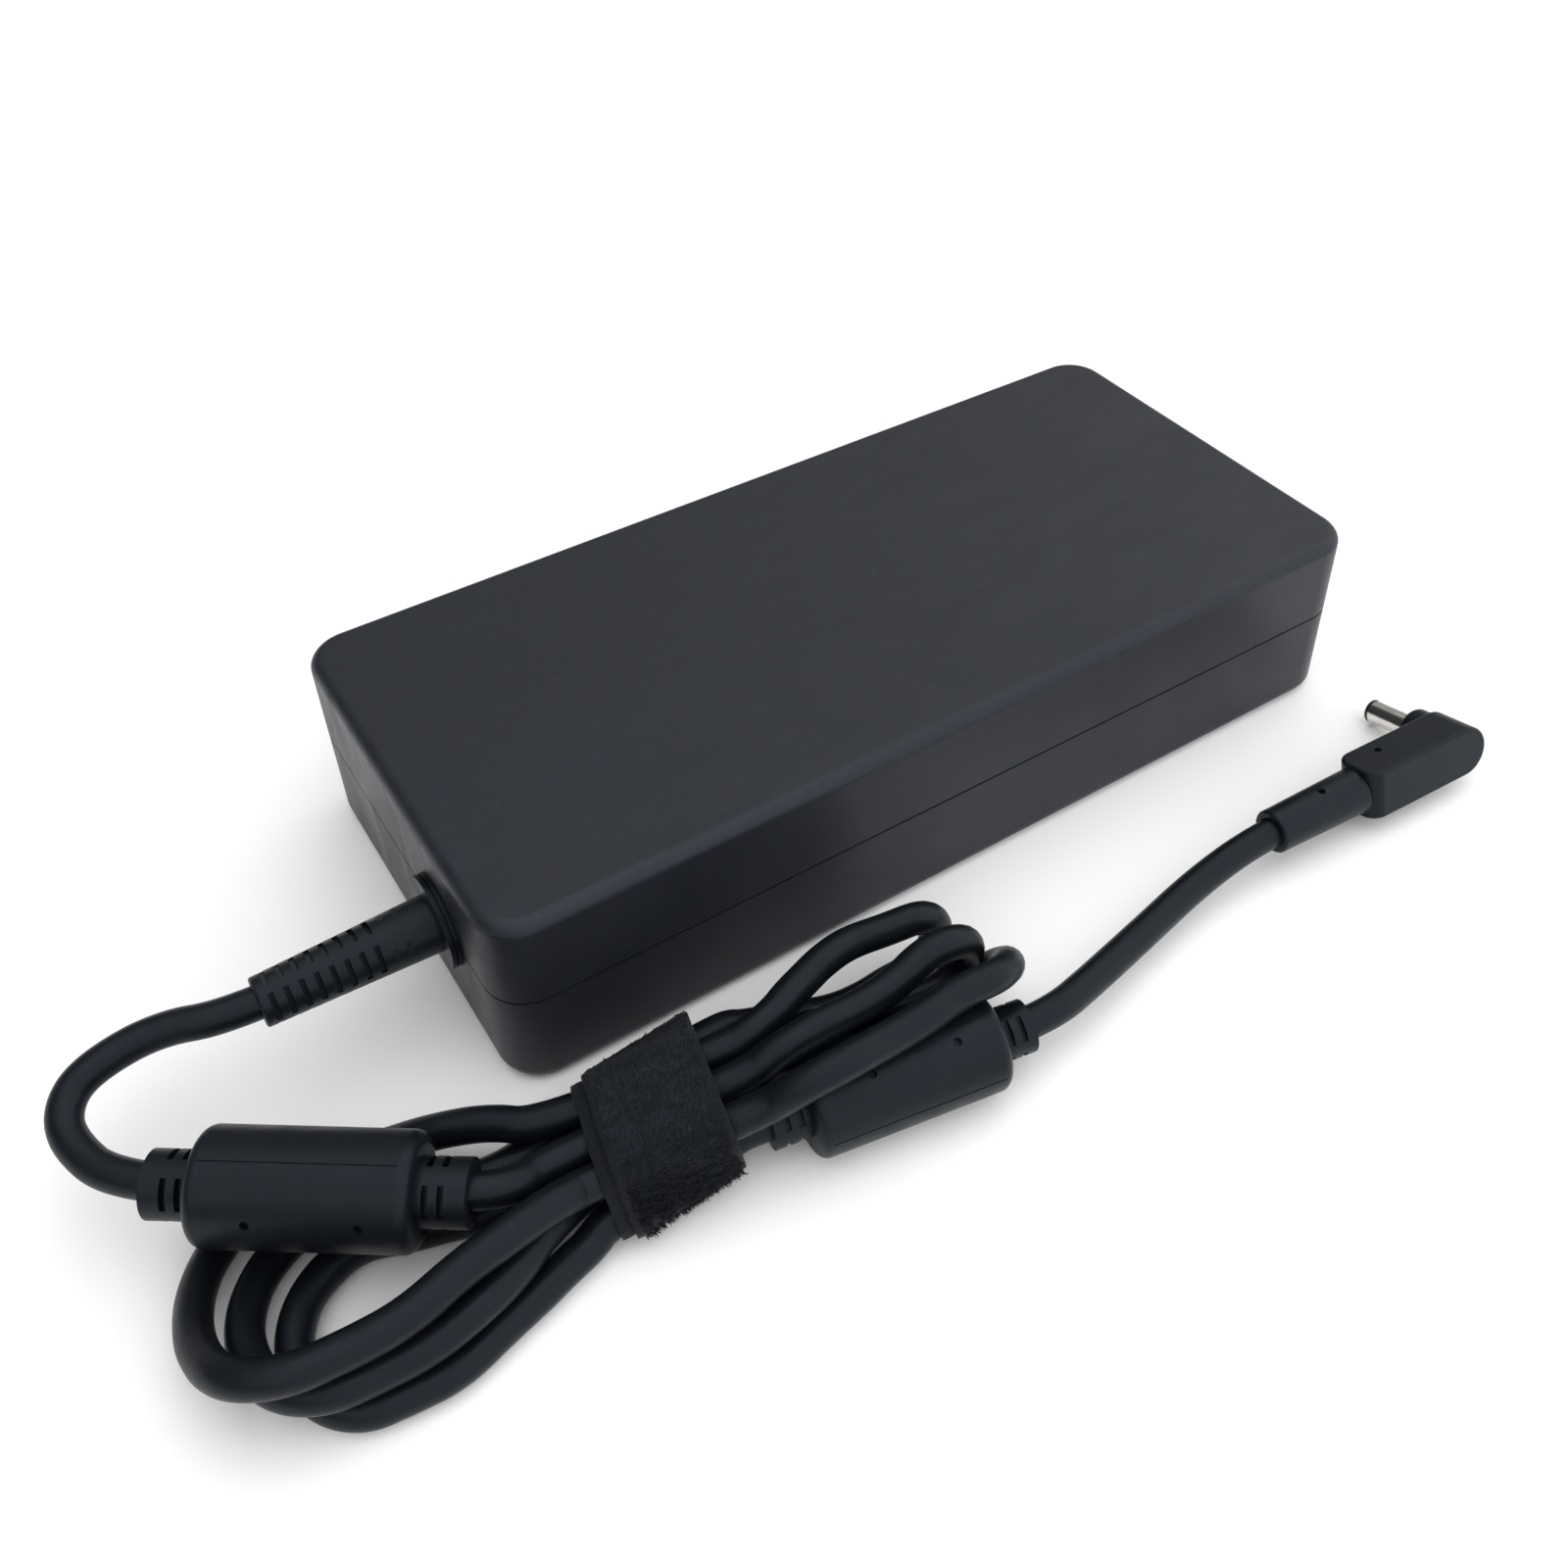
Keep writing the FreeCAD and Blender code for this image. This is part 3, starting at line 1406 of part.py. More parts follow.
def free_cord(points, name):
    """Straight runs through hand-chosen points, joined by tangent arcs."""
    edges = []
    radii = []
    here = points[0]
    for before, corner, after in zip(points, points[1:], points[2:]):
        into = unit(corner - before)
        out = unit(after - corner)
        half_turn = into.getAngle(out) / 2
        back = 0.45 * min((corner - before).Length, (after - corner).Length)
        radii.append(back / math.tan(half_turn))
        first = corner - into * back
        last = corner + out * back
        bisector = unit(out - into)
        sag = radii[-1] / math.cos(half_turn) - radii[-1]
        middle = corner + bisector * sag
        edges.append(Part.LineSegment(here, first).toShape())
        edges.append(Part.Arc(first, middle, last).toShape())
        here = last
    edges.append(Part.LineSegment(here, points[-1]).toShape())
    print(name, "bend radii", [round(radius, 1) for radius in radii])
    return tube(edges, name)


def on_ferrite(plan, along):
    """A point on a moulded bulge's axis, measured from its middle."""
    turn = math.radians(plan["yaw"].value)
    middle = Vector(plan["x"].value, plan["y"].value, plan["z"].value)
    return middle + Vector(math.cos(turn), math.sin(turn), 0) * along


def on_sleeve(along):
    """A point on the plug sleeve's axis, measured from the sleeve's start."""
    turn = Rotation(plug_yaw.value, 0, -plug_roll.value)
    start = Vector(-plug_reach.value - sleeve_length.value + along, plug_depth.value / 2, 0)
    return Vector(plug_x.value, plug_y.value, plug_z.value) + turn.multVec(start)


def cord_stretches():
    """The two stretches that lie free, through points chosen along the photographed cord."""
    last = cord_overlap.value
    run = 11.0
    mouth = -case_end.value - boot_length.value + last
    first_points = [
        Vector(mouth, outlet_y.value, outlet_z.value),
        Vector(mouth - run, outlet_y.value, outlet_z.value),
        Vector(-146.9, -13.8, 20.9),
        Vector(-158.7, -14.6, 19.6),
        Vector(-163.6, -18.0, 18.0),
        Vector(-164.8, -23.8, 16.4),
        on_ferrite(first_ferrite, -first_ferrite["half"].value - first_ferrite["relief"].value - last),
        on_ferrite(first_ferrite, -first_ferrite["half"].value),
    ]
    free_cord(first_points, "cord_stretch_1")
    second_points = [
        on_ferrite(second_ferrite, second_ferrite["half"].value),
        on_ferrite(second_ferrite, second_ferrite["half"].value + run),
        Vector(-3.5, -84.6, 7.6),
        Vector(12.0, -81.0, 6.6),
        Vector(28.0, -77.6, 6.6),
        on_sleeve(last - run),
        on_sleeve(last),
    ]
    free_cord(second_points, "cord_stretch_2")


tie_left = Vector(-96.5, -67.2, 4.9)
tie_right = Vector(-71.5, -72.6, 8.7)
tie_axis = unit(tie_right - tie_left)
tie_side = unit(Vector(0, 0, 1).cross(tie_axis))
tie_up = tie_axis.cross(tie_side)
tie_reach = (tie_right - tie_left).Length

# Where each strand passes through the tie: steps towards the back, and row
STRANDS = {
    "t1": (1.0, 1),
    "t2": (0.0, 1),
    "t3": (-1.0, 1),
    "b1": (1.5, 0),
    "b2": (0.5, 0),
    "b3": (-0.5, 0),
    "b4": (-1.5, 0),
}
# How far inside the tie's left end a strand becomes straight, and how far before its right end
STRAIGHT_FROM = {"b4": 3.8, "b3": 1.2, "t3": 3.0}
STRAIGHT_TO = {"b4": 2.5, "b3": -1.2, "b2": 1.0}


def slot_end(name, side):
    """A strand's place in the tie's left (-1) or right (+1) end plane."""
    step, row = STRANDS[name]
    pitch = strand_pitch.value
    across = step * pitch
    if side > 0 and row == 0:
        across += row_shift.value
    base = tie_right if side > 0 else tie_left
    return base + tie_side * across + tie_up * (row * pitch)


def along(name):
    return unit(slot_end(name, 1) - slot_end(name, -1))


def slot(name, side):
    """Where a strand's straight run through the tie starts or ends."""
    if side < 0:
        return slot_end(name, -1) + along(name) * STRAIGHT_FROM.get(name, 0)
    return slot_end(name, 1) - along(name) * STRAIGHT_TO.get(name, 0)


# Points of the first left loop and the step to the next one, out from the tie and back to it
LEFT_LOOP = [
    (Vector(-110.0, -51.3, 4.0), Vector(0.9, -7.1, 0.0)),
    (Vector(-129.0, -42.0, 3.1), Vector(4.0, -9.7, 0.0)),
    (Vector(-148.0, -44.0, 3.1), Vector(6.5, -7.2, 0.0)),
    (Vector(-157.6, -59.5, 7.4), Vector(6.3, -3.3, -2.1)),
    (Vector(-151.5, -77.8, 15.5), Vector(4.1, -1.7, -6.2)),
    (Vector(-136.0, -80.8, 15.7), Vector(2.5, -2.1, -6.3)),
    (Vector(-116.0, -77.4, 15.5), Vector(1.0, -2.2, -6.2)),
]
NEAR_TIE = [Vector(-105.6, -75.4, 14.3), Vector(-106.4, -74.6, 7.6), Vector(-103.6, -78.9, 3.2)]
BACK_LIFT = [5.3, 0.0, 0.0]
LEFT_SLOTS = [("t1", "t3"), ("b1", "b3"), ("b2", "b4")]
# Upper strands of the three right loops, out from the tie
RIGHT_UPPER = [
    [Vector(-61, -66.7, 18), Vector(-53, -63.9, 18.3), Vector(-44.5, -61.3, 18.2), Vector(-28, -61.4, 16.6)],
    [Vector(-59.5, -74.2, 20.2), Vector(-43.0, -74.0, 19.9), Vector(-28.8, -73.1, 22.2)],
    [Vector(-60.5, -83.6, 22.4), Vector(-44.0, -83.4, 21.9), Vector(-28.6, -82.4, 21.3)],
]
# Lower strands of the right loops, back towards the tie
RIGHT_LOWER = [
    [Vector(-28.7, -62.0, 3.1), Vector(-41.0, -62.0, 3.1), Vector(-57.0, -57.6, 4.5)],
    [Vector(-30.9, -72.2, 9.0), Vector(-42.8, -69.8, 10.0), Vector(-58.0, -67.7, 11.9)],
    [Vector(-30.2, -68.6, 3.1), Vector(-44.5, -69.2, 3.1), Vector(-58.0, -64.1, 3.1)],
]
RIGHT_SLOTS = [("t1", "b1"), ("t2", "b3"), ("t3", "b2")]


def knots_through(points, first, last):
    """Gives each point a direction, weighted towards its nearer neighbour."""
    knots = [(points[0], first)]
    for before, here, after in zip(points, points[1:], points[2:]):
        near = (here - before).Length
        far = (after - here).Length
        heading = (here - before) * (far / near) + (after - here) * (near / far)
        if here.z < cord_radius.value + 0.35:
            heading.z = 0
        knots.append((here, unit(heading)))
    knots.append((points[-1], last))
    return knots


def backwards(knots):
    return [(point, heading * -1) for point, heading in reversed(knots)]


def left_loop(number):
    back, front = LEFT_SLOTS[number]
    points = [slot(back, -1)]
    points += [start + step * number for start, step in LEFT_LOOP]
    points[1] = points[1] + Vector(0, 0, BACK_LIFT[number])
    points += [NEAR_TIE[number], slot(front, -1)]
    return knots_through(points, along(back) * -1, along(front))


def right_loop(number):
    upper, lower = RIGHT_SLOTS[number]
    over = RIGHT_UPPER[number]
    under = RIGHT_LOWER[number]
    radius = (over[-1] - under[0]).Length / 2
    tip = (over[-1] + under[0]) * 0.5 + Vector(radius, 0, 0)
    points = [slot(upper, 1)] + over + [tip] + under + [slot(lower, 1)]
    knots = knots_through(points, along(upper), along(lower) * -1)
    end = len(over)
    knots[end] = (over[-1], unit(Vector(1, -0.08, -0.05)))
    knots[end + 1] = (tip, unit(under[0] - over[-1]))
    knots[end + 2] = (under[0], unit(Vector(-1, 0.08, 0)))
    return knots


def through_tie(name, towards):
    knots = [(slot(name, -1), along(name)), (slot(name, 1), along(name))]
    return knots if towards > 0 else backwards(knots)


def hank_knots():
    """The hank's whole route from the first bulge to the second, loop by loop."""
    start = on_ferrite(first_ferrite, first_ferrite["half"].value)
    leave = on_ferrite(first_ferrite, first_ferrite["half"].value + first_ferrite["relief"].value)
    arrive = on_ferrite(second_ferrite, -second_ferrite["half"].value - cord_overlap.value)
    finish = on_ferrite(second_ferrite, -second_ferrite["half"].value)
    out = unit(leave - start)
    into = unit(finish - arrive)
    knots = [(start, out), (leave, out)]
    order = [
        ("t2", 1, right_loop(1)),
        ("b3", -1, backwards(left_loop(1))),
        ("b1", 1, backwards(right_loop(0))),
        ("t1", -1, left_loop(0)),
        ("t3", 1, right_loop(2)),
        ("b2", -1, left_loop(2)),
    ]
    for name, towards, loop in order:
        knots += through_tie(name, towards)
        knots += loop[1:-1]
    knots += through_tie("b4", 1)
    knots += [(arrive, into), (finish, into)]
    return knots


def biarc_middle(first, leaving, last, arriving):
    """The point where two arcs from one directed point to another meet."""
    span = last - first
    both = leaving + arriving
    square = 2 * (1 - leaving.dot(arriving))
    linear = 2 * span.dot(both)
    free = -span.dot(span)
    if square < 1e-9:
        reach = -free / linear
    else:
        reach = (-linear + math.sqrt(linear * linear - 4 * square * free)) / (2 * square)
    return (first + leaving * reach + last - arriving * reach) * 0.5


def arc_edge(first, leaving, last):
    """An arc or line that leaves a point in a direction. Returns edge, radius and end direction."""
    chord = last - first
    heading = unit(chord)
    turn = leaving.getAngle(heading)
    if turn < 1e-4:
        return Part.LineSegment(first, last).toShape(), math.inf, leaving
    across = unit(leaving - heading * leaving.dot(heading))
    middle = (first + last) * 0.5 + across * (chord.Length / 2 * math.tan(turn / 2))
    end = unit(heading * (2 * leaving.dot(heading)) - leaving)
    radius = chord.Length / 2 / math.sin(turn)
    return Part.Arc(first, middle, last).toShape(), radius, end


def cord_hank():
    knots = hank_knots()
    edges = []
    radii = []
    for (first, leaving), (last, arriving) in zip(knots, knots[1:]):
        if (last - first).getAngle(leaving) < 1e-4 and leaving.getAngle(arriving) < 1e-4:
            edges.append(Part.LineSegment(first, last).toShape())
            continue
        middle = biarc_middle(first, leaving, last, arriving)
        edge, radius, heading = arc_edge(first, leaving, middle)
        edges.append(edge)
        radii.append(radius)
        edge, radius, heading = arc_edge(middle, heading, last)
        edges.append(edge)
        radii.append(radius)
    print("cord_hank tightest bend radius %.1f mm over %d arcs" % (min(radii), len(radii)))
    hank = tube(edges, "cord_hank")
    print("cord_hank least gap to itself %.2f mm" % least_gap(edges))
    return hank


def least_gap(edges):
    """The least gap between stretches of the hank that aren't neighbours, measured on points."""
    spots = []
    places = []
    travelled = 0
    for edge in edges:
        count = max(2, int(edge.Length / 1.0))
        spots += edge.discretize(count + 1)[:-1]
        places += [travelled + edge.Length * number / count for number in range(count)]
        travelled += edge.Length
    best = math.inf
    near = cord_radius.value * 5
    for number, spot in enumerate(spots):
        for other in range(number + 1, len(spots)):
            if places[other] - places[number] < near:
                continue
            gap = (spot - spots[other]).Length
            if gap < best:
                best = gap
                where = spot
    print("closest at", [round(value, 1) for value in where])
    return best - cord_radius.value * 2


def tie_ring(start, end, inside, outside):
    """A band round the strands between two places along the tie."""
    solids = []
    for reach in (outside, inside):
        wires = []
        for spot in (start, end):
            share = spot / tie_reach
            corners = []
            for name in ("t3", "b4", "b1", "t1"):
                corners.append(slot_end(name, -1) * (1 - share) + slot_end(name, 1) * share)
            wires.append(hull_wire(corners, reach))
        solids.append(Part.makeLoft(wires, True, True))
    return solids[0].cut(solids[1])


def hull_wire(centres, radius):
    """Straight sides and corner arcs at one distance round a ring of points."""
    edges = []
    count = len(centres)
    for number in range(count):
        before = centres[number - 1]
        here = centres[number]
        after = centres[(number + 1) % count]
        into = unit(here - before)
        out = unit(after - here)
        first = into.cross(tie_axis) * radius
        last = out.cross(tie_axis) * radius
        middle = unit(first + last) * radius
        edges.append(Part.Arc(here + first, here + middle, here + last).toShape())
        edges.append(Part.LineSegment(here + last, after + last).toShape())
    return Part.Wire(edges)


def cord_tie():
    """A hook-and-loop band wound twice round the hank. The outer turn is set to one side."""
    inside = cord_radius.value + tie_gap.value
    middle = inside + tie_thick.value
    outside = middle + tie_thick.value
    start = tie_start.value
    end = tie_end.value
    under = tie_ring(start, end - tie_step.value / 2, inside, middle + 0.05)
    over = tie_ring(start + tie_step.value, end, middle, outside)
    band = under.fuse(over).removeSplitter()
    feature = doc.addObject("Part::Feature", "cord_tie")
    feature.Shape = band
    keep(feature, "cord_tie")


def lead_wires():
    """Insulated wires from the inlet pins to the board, and from the board to the cord."""
    wires = []
    drop = board_top.value
    back = inlet_back.value - pin_tail.value
    for across, rise in ((pin_spread.value, -1), (-pin_spread.value, -1), (0, 1)):
        level = inlet_middle.value + pin_rise.value * rise
        points = [Vector(back, across, level), Vector(back - 4.5, across, level), Vector(back - 4.5, across, drop)]
        wires.append(wire_solid(points, 2.5))
    feature = doc.addObject("Part::Feature", "inlet_leads")
    feature.Shape = Part.makeCompound(wires)
    keep(feature, "inlet_leads")
    wires = []
    end = -case_end.value + wall.value * 2
    for side in (-1, 1):
        across = outlet_y.value + output_lead_spread.value * side
        points = [
            Vector(end, across, outlet_z.value),
            Vector(end + 9, across, outlet_z.value),
            Vector(end + 9, across, drop),
        ]
        wires.append(wire_solid(points, 4.0))
    feature = doc.addObject("Part::Feature", "output_leads")
    feature.Shape = Part.makeCompound(wires)
    keep(feature, "output_leads")


def wire_solid(points, bend):
    """A thin wire with one round bend."""
    start, corner, end = points
    into = unit(corner - start)
    out = unit(end - corner)
    first = corner - into * bend
    last = corner + out * bend
    middle = corner + unit(out - into) * (bend * (math.sqrt(2) - 1))
    edges = [
        Part.LineSegment(start, first).toShape(),
        Part.Arc(first, middle, last).toShape(),
        Part.LineSegment(last, end).toShape(),
    ]
    profile = Part.Wire([Part.makeCircle(lead_radius.value, start, into)])
    return Part.Wire(edges).makePipeShell([profile], True, False)


def check_and_write():
    """Stops at any object that failed, then writes each sub-part's file."""
    doc.recompute()
    for thing in doc.Objects:
        if "Invalid" in thing.State or "Error" in thing.State:
            raise RuntimeError("%s failed" % thing.Label)
    os.makedirs("parts", exist_ok=True)
    for thing in pieces:
        shape = thing.Shape
        if shape.isNull() or not shape.isValid() or not shape.Solids:
            raise RuntimeError("%s has no valid solid" % thing.Label)
        shape.exportStep("parts/%s.step" % thing.Label)
    print(len(pieces), "sub-parts written")


bottom_cover()
top_cover()
mains_inlet()
board()
heat_spreaders()
small_parts()
power_stage()
wound_parts()
strain_relief()
ferrite("first_ferrite", first_ferrite)
ferrite("second_ferrite", second_ferrite)
plug()
cord_stretches()
cord_hank()
cord_tie()
lead_wires()
check_and_write()
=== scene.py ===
import functools
import math
import random

import bpy
from bpy.props import FloatProperty, FloatVectorProperty, IntProperty, PointerProperty
from mathutils import Matrix, Vector, noise


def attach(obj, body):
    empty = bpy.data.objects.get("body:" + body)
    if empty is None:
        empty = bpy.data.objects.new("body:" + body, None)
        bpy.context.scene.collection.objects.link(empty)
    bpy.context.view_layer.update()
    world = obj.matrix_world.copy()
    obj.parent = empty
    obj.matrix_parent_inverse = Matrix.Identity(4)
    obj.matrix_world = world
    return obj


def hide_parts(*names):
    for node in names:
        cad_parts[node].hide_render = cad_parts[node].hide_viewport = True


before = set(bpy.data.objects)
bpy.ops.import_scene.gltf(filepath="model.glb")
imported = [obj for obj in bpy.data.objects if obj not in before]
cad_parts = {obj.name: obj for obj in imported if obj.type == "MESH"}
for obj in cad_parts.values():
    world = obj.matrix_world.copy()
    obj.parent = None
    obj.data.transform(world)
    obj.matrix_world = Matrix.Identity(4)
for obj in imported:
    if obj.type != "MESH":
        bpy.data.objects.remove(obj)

bl_info = {
    "name": "Laptop Power Adapter",
    "version": (1, 0, 0),
    "blender": (4, 5, 0),
    "location": "View3D > Sidebar > Adapter",
    "description": "Dresses a laptop power adapter with its tied cord and right-angle plug",
    "category": "Object",
}

MM = 0.001
UP = Vector((0, 0, 1))


# Sizes and colours that a user would change


def colour_property(name, description, default):
    return FloatVectorProperty(
        name=name, description=description, default=default, min=0, max=1, size=3, subtype="COLOR"
    )


def length_property(name, description, default):
    return FloatProperty(
        name=name, description=description, default=default, min=0,
        unit="LENGTH", subtype="DISTANCE", precision=5,
    )


def share_property(name, description, default):
    return FloatProperty(
        name=name, description=description, default=default, min=0, max=1, subtype="FACTOR"
    )


class CaseFinish(bpy.types.PropertyGroup):
    colour: colour_property("Case colour", "Colour of the moulded covers", (0.0082, 0.0098, 0.0142))
    roughness: share_property("Case roughness", "How matt the covers are", 0.4)
    grain_size: length_property("Grain size", "Size of the moulded grain", 0.00022)
    grain_depth: length_property("Grain depth", "Height of the moulded grain", 0.000012)
    inlet_colour: colour_property("Inlet colour", "Colour of the mains inlet", (0.012, 0.012, 0.013))
    pin_colour: colour_property("Pin colour", "Colour of the plated pins", (0.74, 0.72, 0.68))


class CordLook(bpy.types.PropertyGroup):
    diameter: length_property("Cord diameter", "Diameter of the round cord", 0.006)
    jacket: colour_property("Jacket colour", "Colour of the cord's jacket", (0.0036, 0.0046, 0.0066))
    roughness: share_property("Jacket roughness", "How satin the jacket is", 0.38)
    moulding: colour_property(
        "Moulding colour", "Colour of the boot, bulges and plug", (0.0042, 0.0054, 0.0076)
    )
    moulding_roughness: share_property("Moulding roughness", "How satin the mouldings are", 0.38)


class TieLook(bpy.types.PropertyGroup):
    width: length_property("Tie width", "Width of the band", 0.0198)
    thickness: length_property("Tie thickness", "Thickness of one layer", 0.001)
    hem: length_property("Hem width", "Width of the bare woven hem along each edge", 0.0013)
    pile_length: length_property("Pile length", "Length of the longest tufts", 0.0014)
    tufts: IntProperty(
        name="Tufts", description="How many tufts of pile the band carries", default=15000, min=0
    )
    colour: colour_property("Tie colour", "Colour of the woven band", (0.0026, 0.0029, 0.0036))
    pile_colour: colour_property("Pile colour", "Colour of the pile", (0.0052, 0.0064, 0.009))


class PlugLook(bpy.types.PropertyGroup):
    barrel_colour: colour_property("Barrel colour", "Colour of the plated barrel", (0.77, 0.74, 0.69))
    barrel_roughness: share_property("Barrel roughness", "How polished the barrel is", 0.16)
    tip_colour: colour_property("Tip colour", "Colour of the barrel's insulator", (0.012, 0.012, 0.012))


class StageLook(bpy.types.PropertyGroup):
    floor_colour: colour_property("Floor colour", "Colour of the pale floor", (0.93, 0.93, 0.93))
    floor_size: length_property("Floor size", "Width of the floor", 6.0)
    key_power: FloatProperty(
        name="Key light", description="Power of the large light overhead", default=1.9, min=0,
        unit="POWER",
    )
    fill_power: FloatProperty(
        name="Fill light", description="Power of the light beside the camera", default=0.8, min=0,
        unit="POWER",
    )
    surround: FloatProperty(
        name="Surround", description="Brightness of the pale surround", default=0.92, min=0, max=4
    )
    surround_lean: share_property(
        "Surround lean", "How much brighter the surround is on the plug's side", 0.3
    )
    low_surround: share_property(
        "Low surround", "Share of the surround's brightness low down at the back", 0.28
    )
    high_surround: FloatProperty(
        name="High surround", description="Share of the surround's brightness overhead",
        default=1.42, min=0, max=3,
    )
    camera_place: FloatVectorProperty(
        name="Camera place", description="Where the camera stands",
        default=(-0.14238, -0.21453, 0.24057), unit="LENGTH", subtype="TRANSLATION",
    )
    focal_length: FloatProperty(
        name="Focal length", description="Focal length in millimetres on a 36 mm sensor",
        default=37.27, min=1,
    )


GROUPS = {
    "adapter_case": CaseFinish,
    "adapter_cord": CordLook,
    "adapter_tie": TieLook,
    "adapter_plug": PlugLook,
    "adapter_stage": StageLook,
}


# Finishes

CASE_TONE = (0.86, 0.92, 1.0)
SATIN_TONE = (0.72, 0.86, 1.0)
WOVEN_TONE = (0.75, 0.88, 1.0)
PILE_TONE = (0.7, 0.85, 1.0)
USUAL_NOISE = (0.25, 0.75)
SOFT_PATCHES = (0.35, 0.7)
# Heights in metres between which painted shade darkens the pile towards the bottom of the band
PILE_SHADE_STARTS_AT = 0.018
PILE_SHADE_FULL_AT = 0.011
WIRE_TURNS_PER_METRE = 700


class Finish:
    """A material whose colour, roughness and relief come from nodes over one Principled shader."""

    def __init__(self, name, colour, roughness, metallic=0.0, specular=0.5, tone=(1, 1, 1)):
        self.material = bpy.data.materials.new(name)
        self.material.use_nodes = True
        self.material.diffuse_color = (*colour, 1)
        self.nodes = self.material.node_tree.nodes
        self.links = self.material.node_tree.links
        self.shader = self.nodes["Principled BSDF"]
        self.colour = tuple(colour)
        self.roughness = roughness
        self.shader.inputs["Base Color"].default_value = (*colour, 1)
        self.shader.inputs["Roughness"].default_value = roughness
        self.shader.inputs["Metallic"].default_value = metallic
        self.shader.inputs["Specular IOR Level"].default_value = specular
        self.shader.inputs["Specular Tint"].default_value = (*tone, 1)
        self.place = self.nodes.new("ShaderNodeTexCoord").outputs["Object"]
        self.relief = None

    def add(self, kind, **settings):
        node = self.nodes.new(kind)
        for name, value in settings.items():
            setattr(node, name, value)
        return node

    def stretched(self, scale):
        """The object's coordinates, stretched along the axes."""
        mapping = self.add("ShaderNodeMapping")
        mapping.inputs["Scale"].default_value = scale
        self.links.new(self.place, mapping.inputs["Vector"])
        return mapping.outputs["Vector"]

    def noise(self, size, detail=2.0, place=None, distortion=0.0):
        node = self.add("ShaderNodeTexNoise")
        node.inputs["Scale"].default_value = 1 / size
        node.inputs["Detail"].default_value = detail
        node.inputs["Distortion"].default_value = distortion
        self.links.new(place or self.place, node.inputs["Vector"])
        return node.outputs["Fac"]

    def cells(self, size, feature="F1"):
        node = self.add("ShaderNodeTexVoronoi", feature=feature)
        node.inputs["Scale"].default_value = 1 / size
        self.links.new(self.place, node.inputs["Vector"])
        return node.outputs["Distance"]

    def spread(self, value, low, high, to_low=0.0, to_high=1.0):
        node = self.add("ShaderNodeMapRange")
        node.inputs["From Min"].default_value = low
        node.inputs["From Max"].default_value = high
        node.inputs["To Min"].default_value = to_low
        node.inputs["To Max"].default_value = to_high
        self.links.new(value, node.inputs["Value"])
        return node.outputs["Result"]

    def tint(self, amount, other):
        """Mixes another colour in where amount is high."""
        mix = self.add("ShaderNodeMix", data_type="RGBA")
        old = self.shader.inputs["Base Color"]
        colours = [socket for socket in mix.inputs if socket.type == "RGBA"]
        if old.is_linked:
            self.links.new(old.links[0].from_socket, colours[0])
        else:
            colours[0].default_value = (*self.colour, 1)
        colours[1].default_value = (*other, 1)
        self.links.new(amount, mix.inputs["Factor"])
        result = next(socket for socket in mix.outputs if socket.type == "RGBA")
        self.links.new(result, old)
        return self

    def mottle(self, size, detail, span, strength, factor):
        """Tints patches of noise, lighter for a factor over one and darker for one below it."""
        patches = self.spread(self.noise(size, detail), *span, 0.0, strength)
        return self.tint(patches, lighter(self.colour, factor))

    def roughen(self, value, below, above):
        """Lets the roughness vary round its base value."""
        result = self.spread(value, *USUAL_NOISE, self.roughness - below, self.roughness + above)
        self.links.new(result, self.shader.inputs["Roughness"])
        return self

    def raise_by(self, height, depth, strength=1.0):
        """Adds relief from a height map. depth is in metres."""
        bump = self.add("ShaderNodeBump")
        bump.inputs["Distance"].default_value = depth
        bump.inputs["Strength"].default_value = strength
        self.links.new(height, bump.inputs["Height"])
        if self.relief:
            self.links.new(self.relief, bump.inputs["Normal"])
        self.relief = bump.outputs["Normal"]
        self.links.new(self.relief, self.shader.inputs["Normal"])
        return self

    def sheen(self, weight, roughness=0.4):
        self.shader.inputs["Sheen Weight"].default_value = weight
        self.shader.inputs["Sheen Roughness"].default_value = roughness
        return self


def lighter(colour, factor):
    return tuple(min(1.0, part * factor) for part in colour)


def moulded_case(look):
    """Fine spark-eroded grain with faint handling marks and a few pale specks."""
    finish = Finish("moulded_case", look.colour, look.roughness, specular=0.31, tone=CASE_TONE)
    smear = finish.noise(size=0.02, detail=4, place=finish.stretched((1, 2.6, 1)), distortion=0.6)
    finish.mottle(size=0.045, detail=3, span=SOFT_PATCHES, strength=0.55, factor=1.22)
    finish.mottle(size=0.0016, detail=1, span=(0.69, 0.76), strength=0.35, factor=2.4)
    finish.roughen(smear, below=0.07, above=0.1)
    grain = finish.noise(look.grain_size, detail=3)
    finish.raise_by(grain, depth=look.grain_depth * 5, strength=0.55)
    return finish.material


def satin_moulding(name, colour, roughness, grain=0.0005):
    """Soft moulded plastic with a slight orange-peel surface."""
    finish = Finish(name, colour, roughness, specular=0.2, tone=SATIN_TONE)
    finish.mottle(size=0.012, detail=3, span=SOFT_PATCHES, strength=0.6, factor=1.35)
    finish.mottle(size=0.0012, detail=2, span=(0.66, 0.75), strength=0.4, factor=2.2)
    finish.roughen(finish.noise(size=0.006, detail=3), below=0.07, above=0.09)
    finish.raise_by(finish.noise(grain, detail=3), depth=0.00004, strength=0.6)
    finish.raise_by(finish.noise(size=0.004, detail=2), depth=0.00012, strength=0.35)
    return finish.material


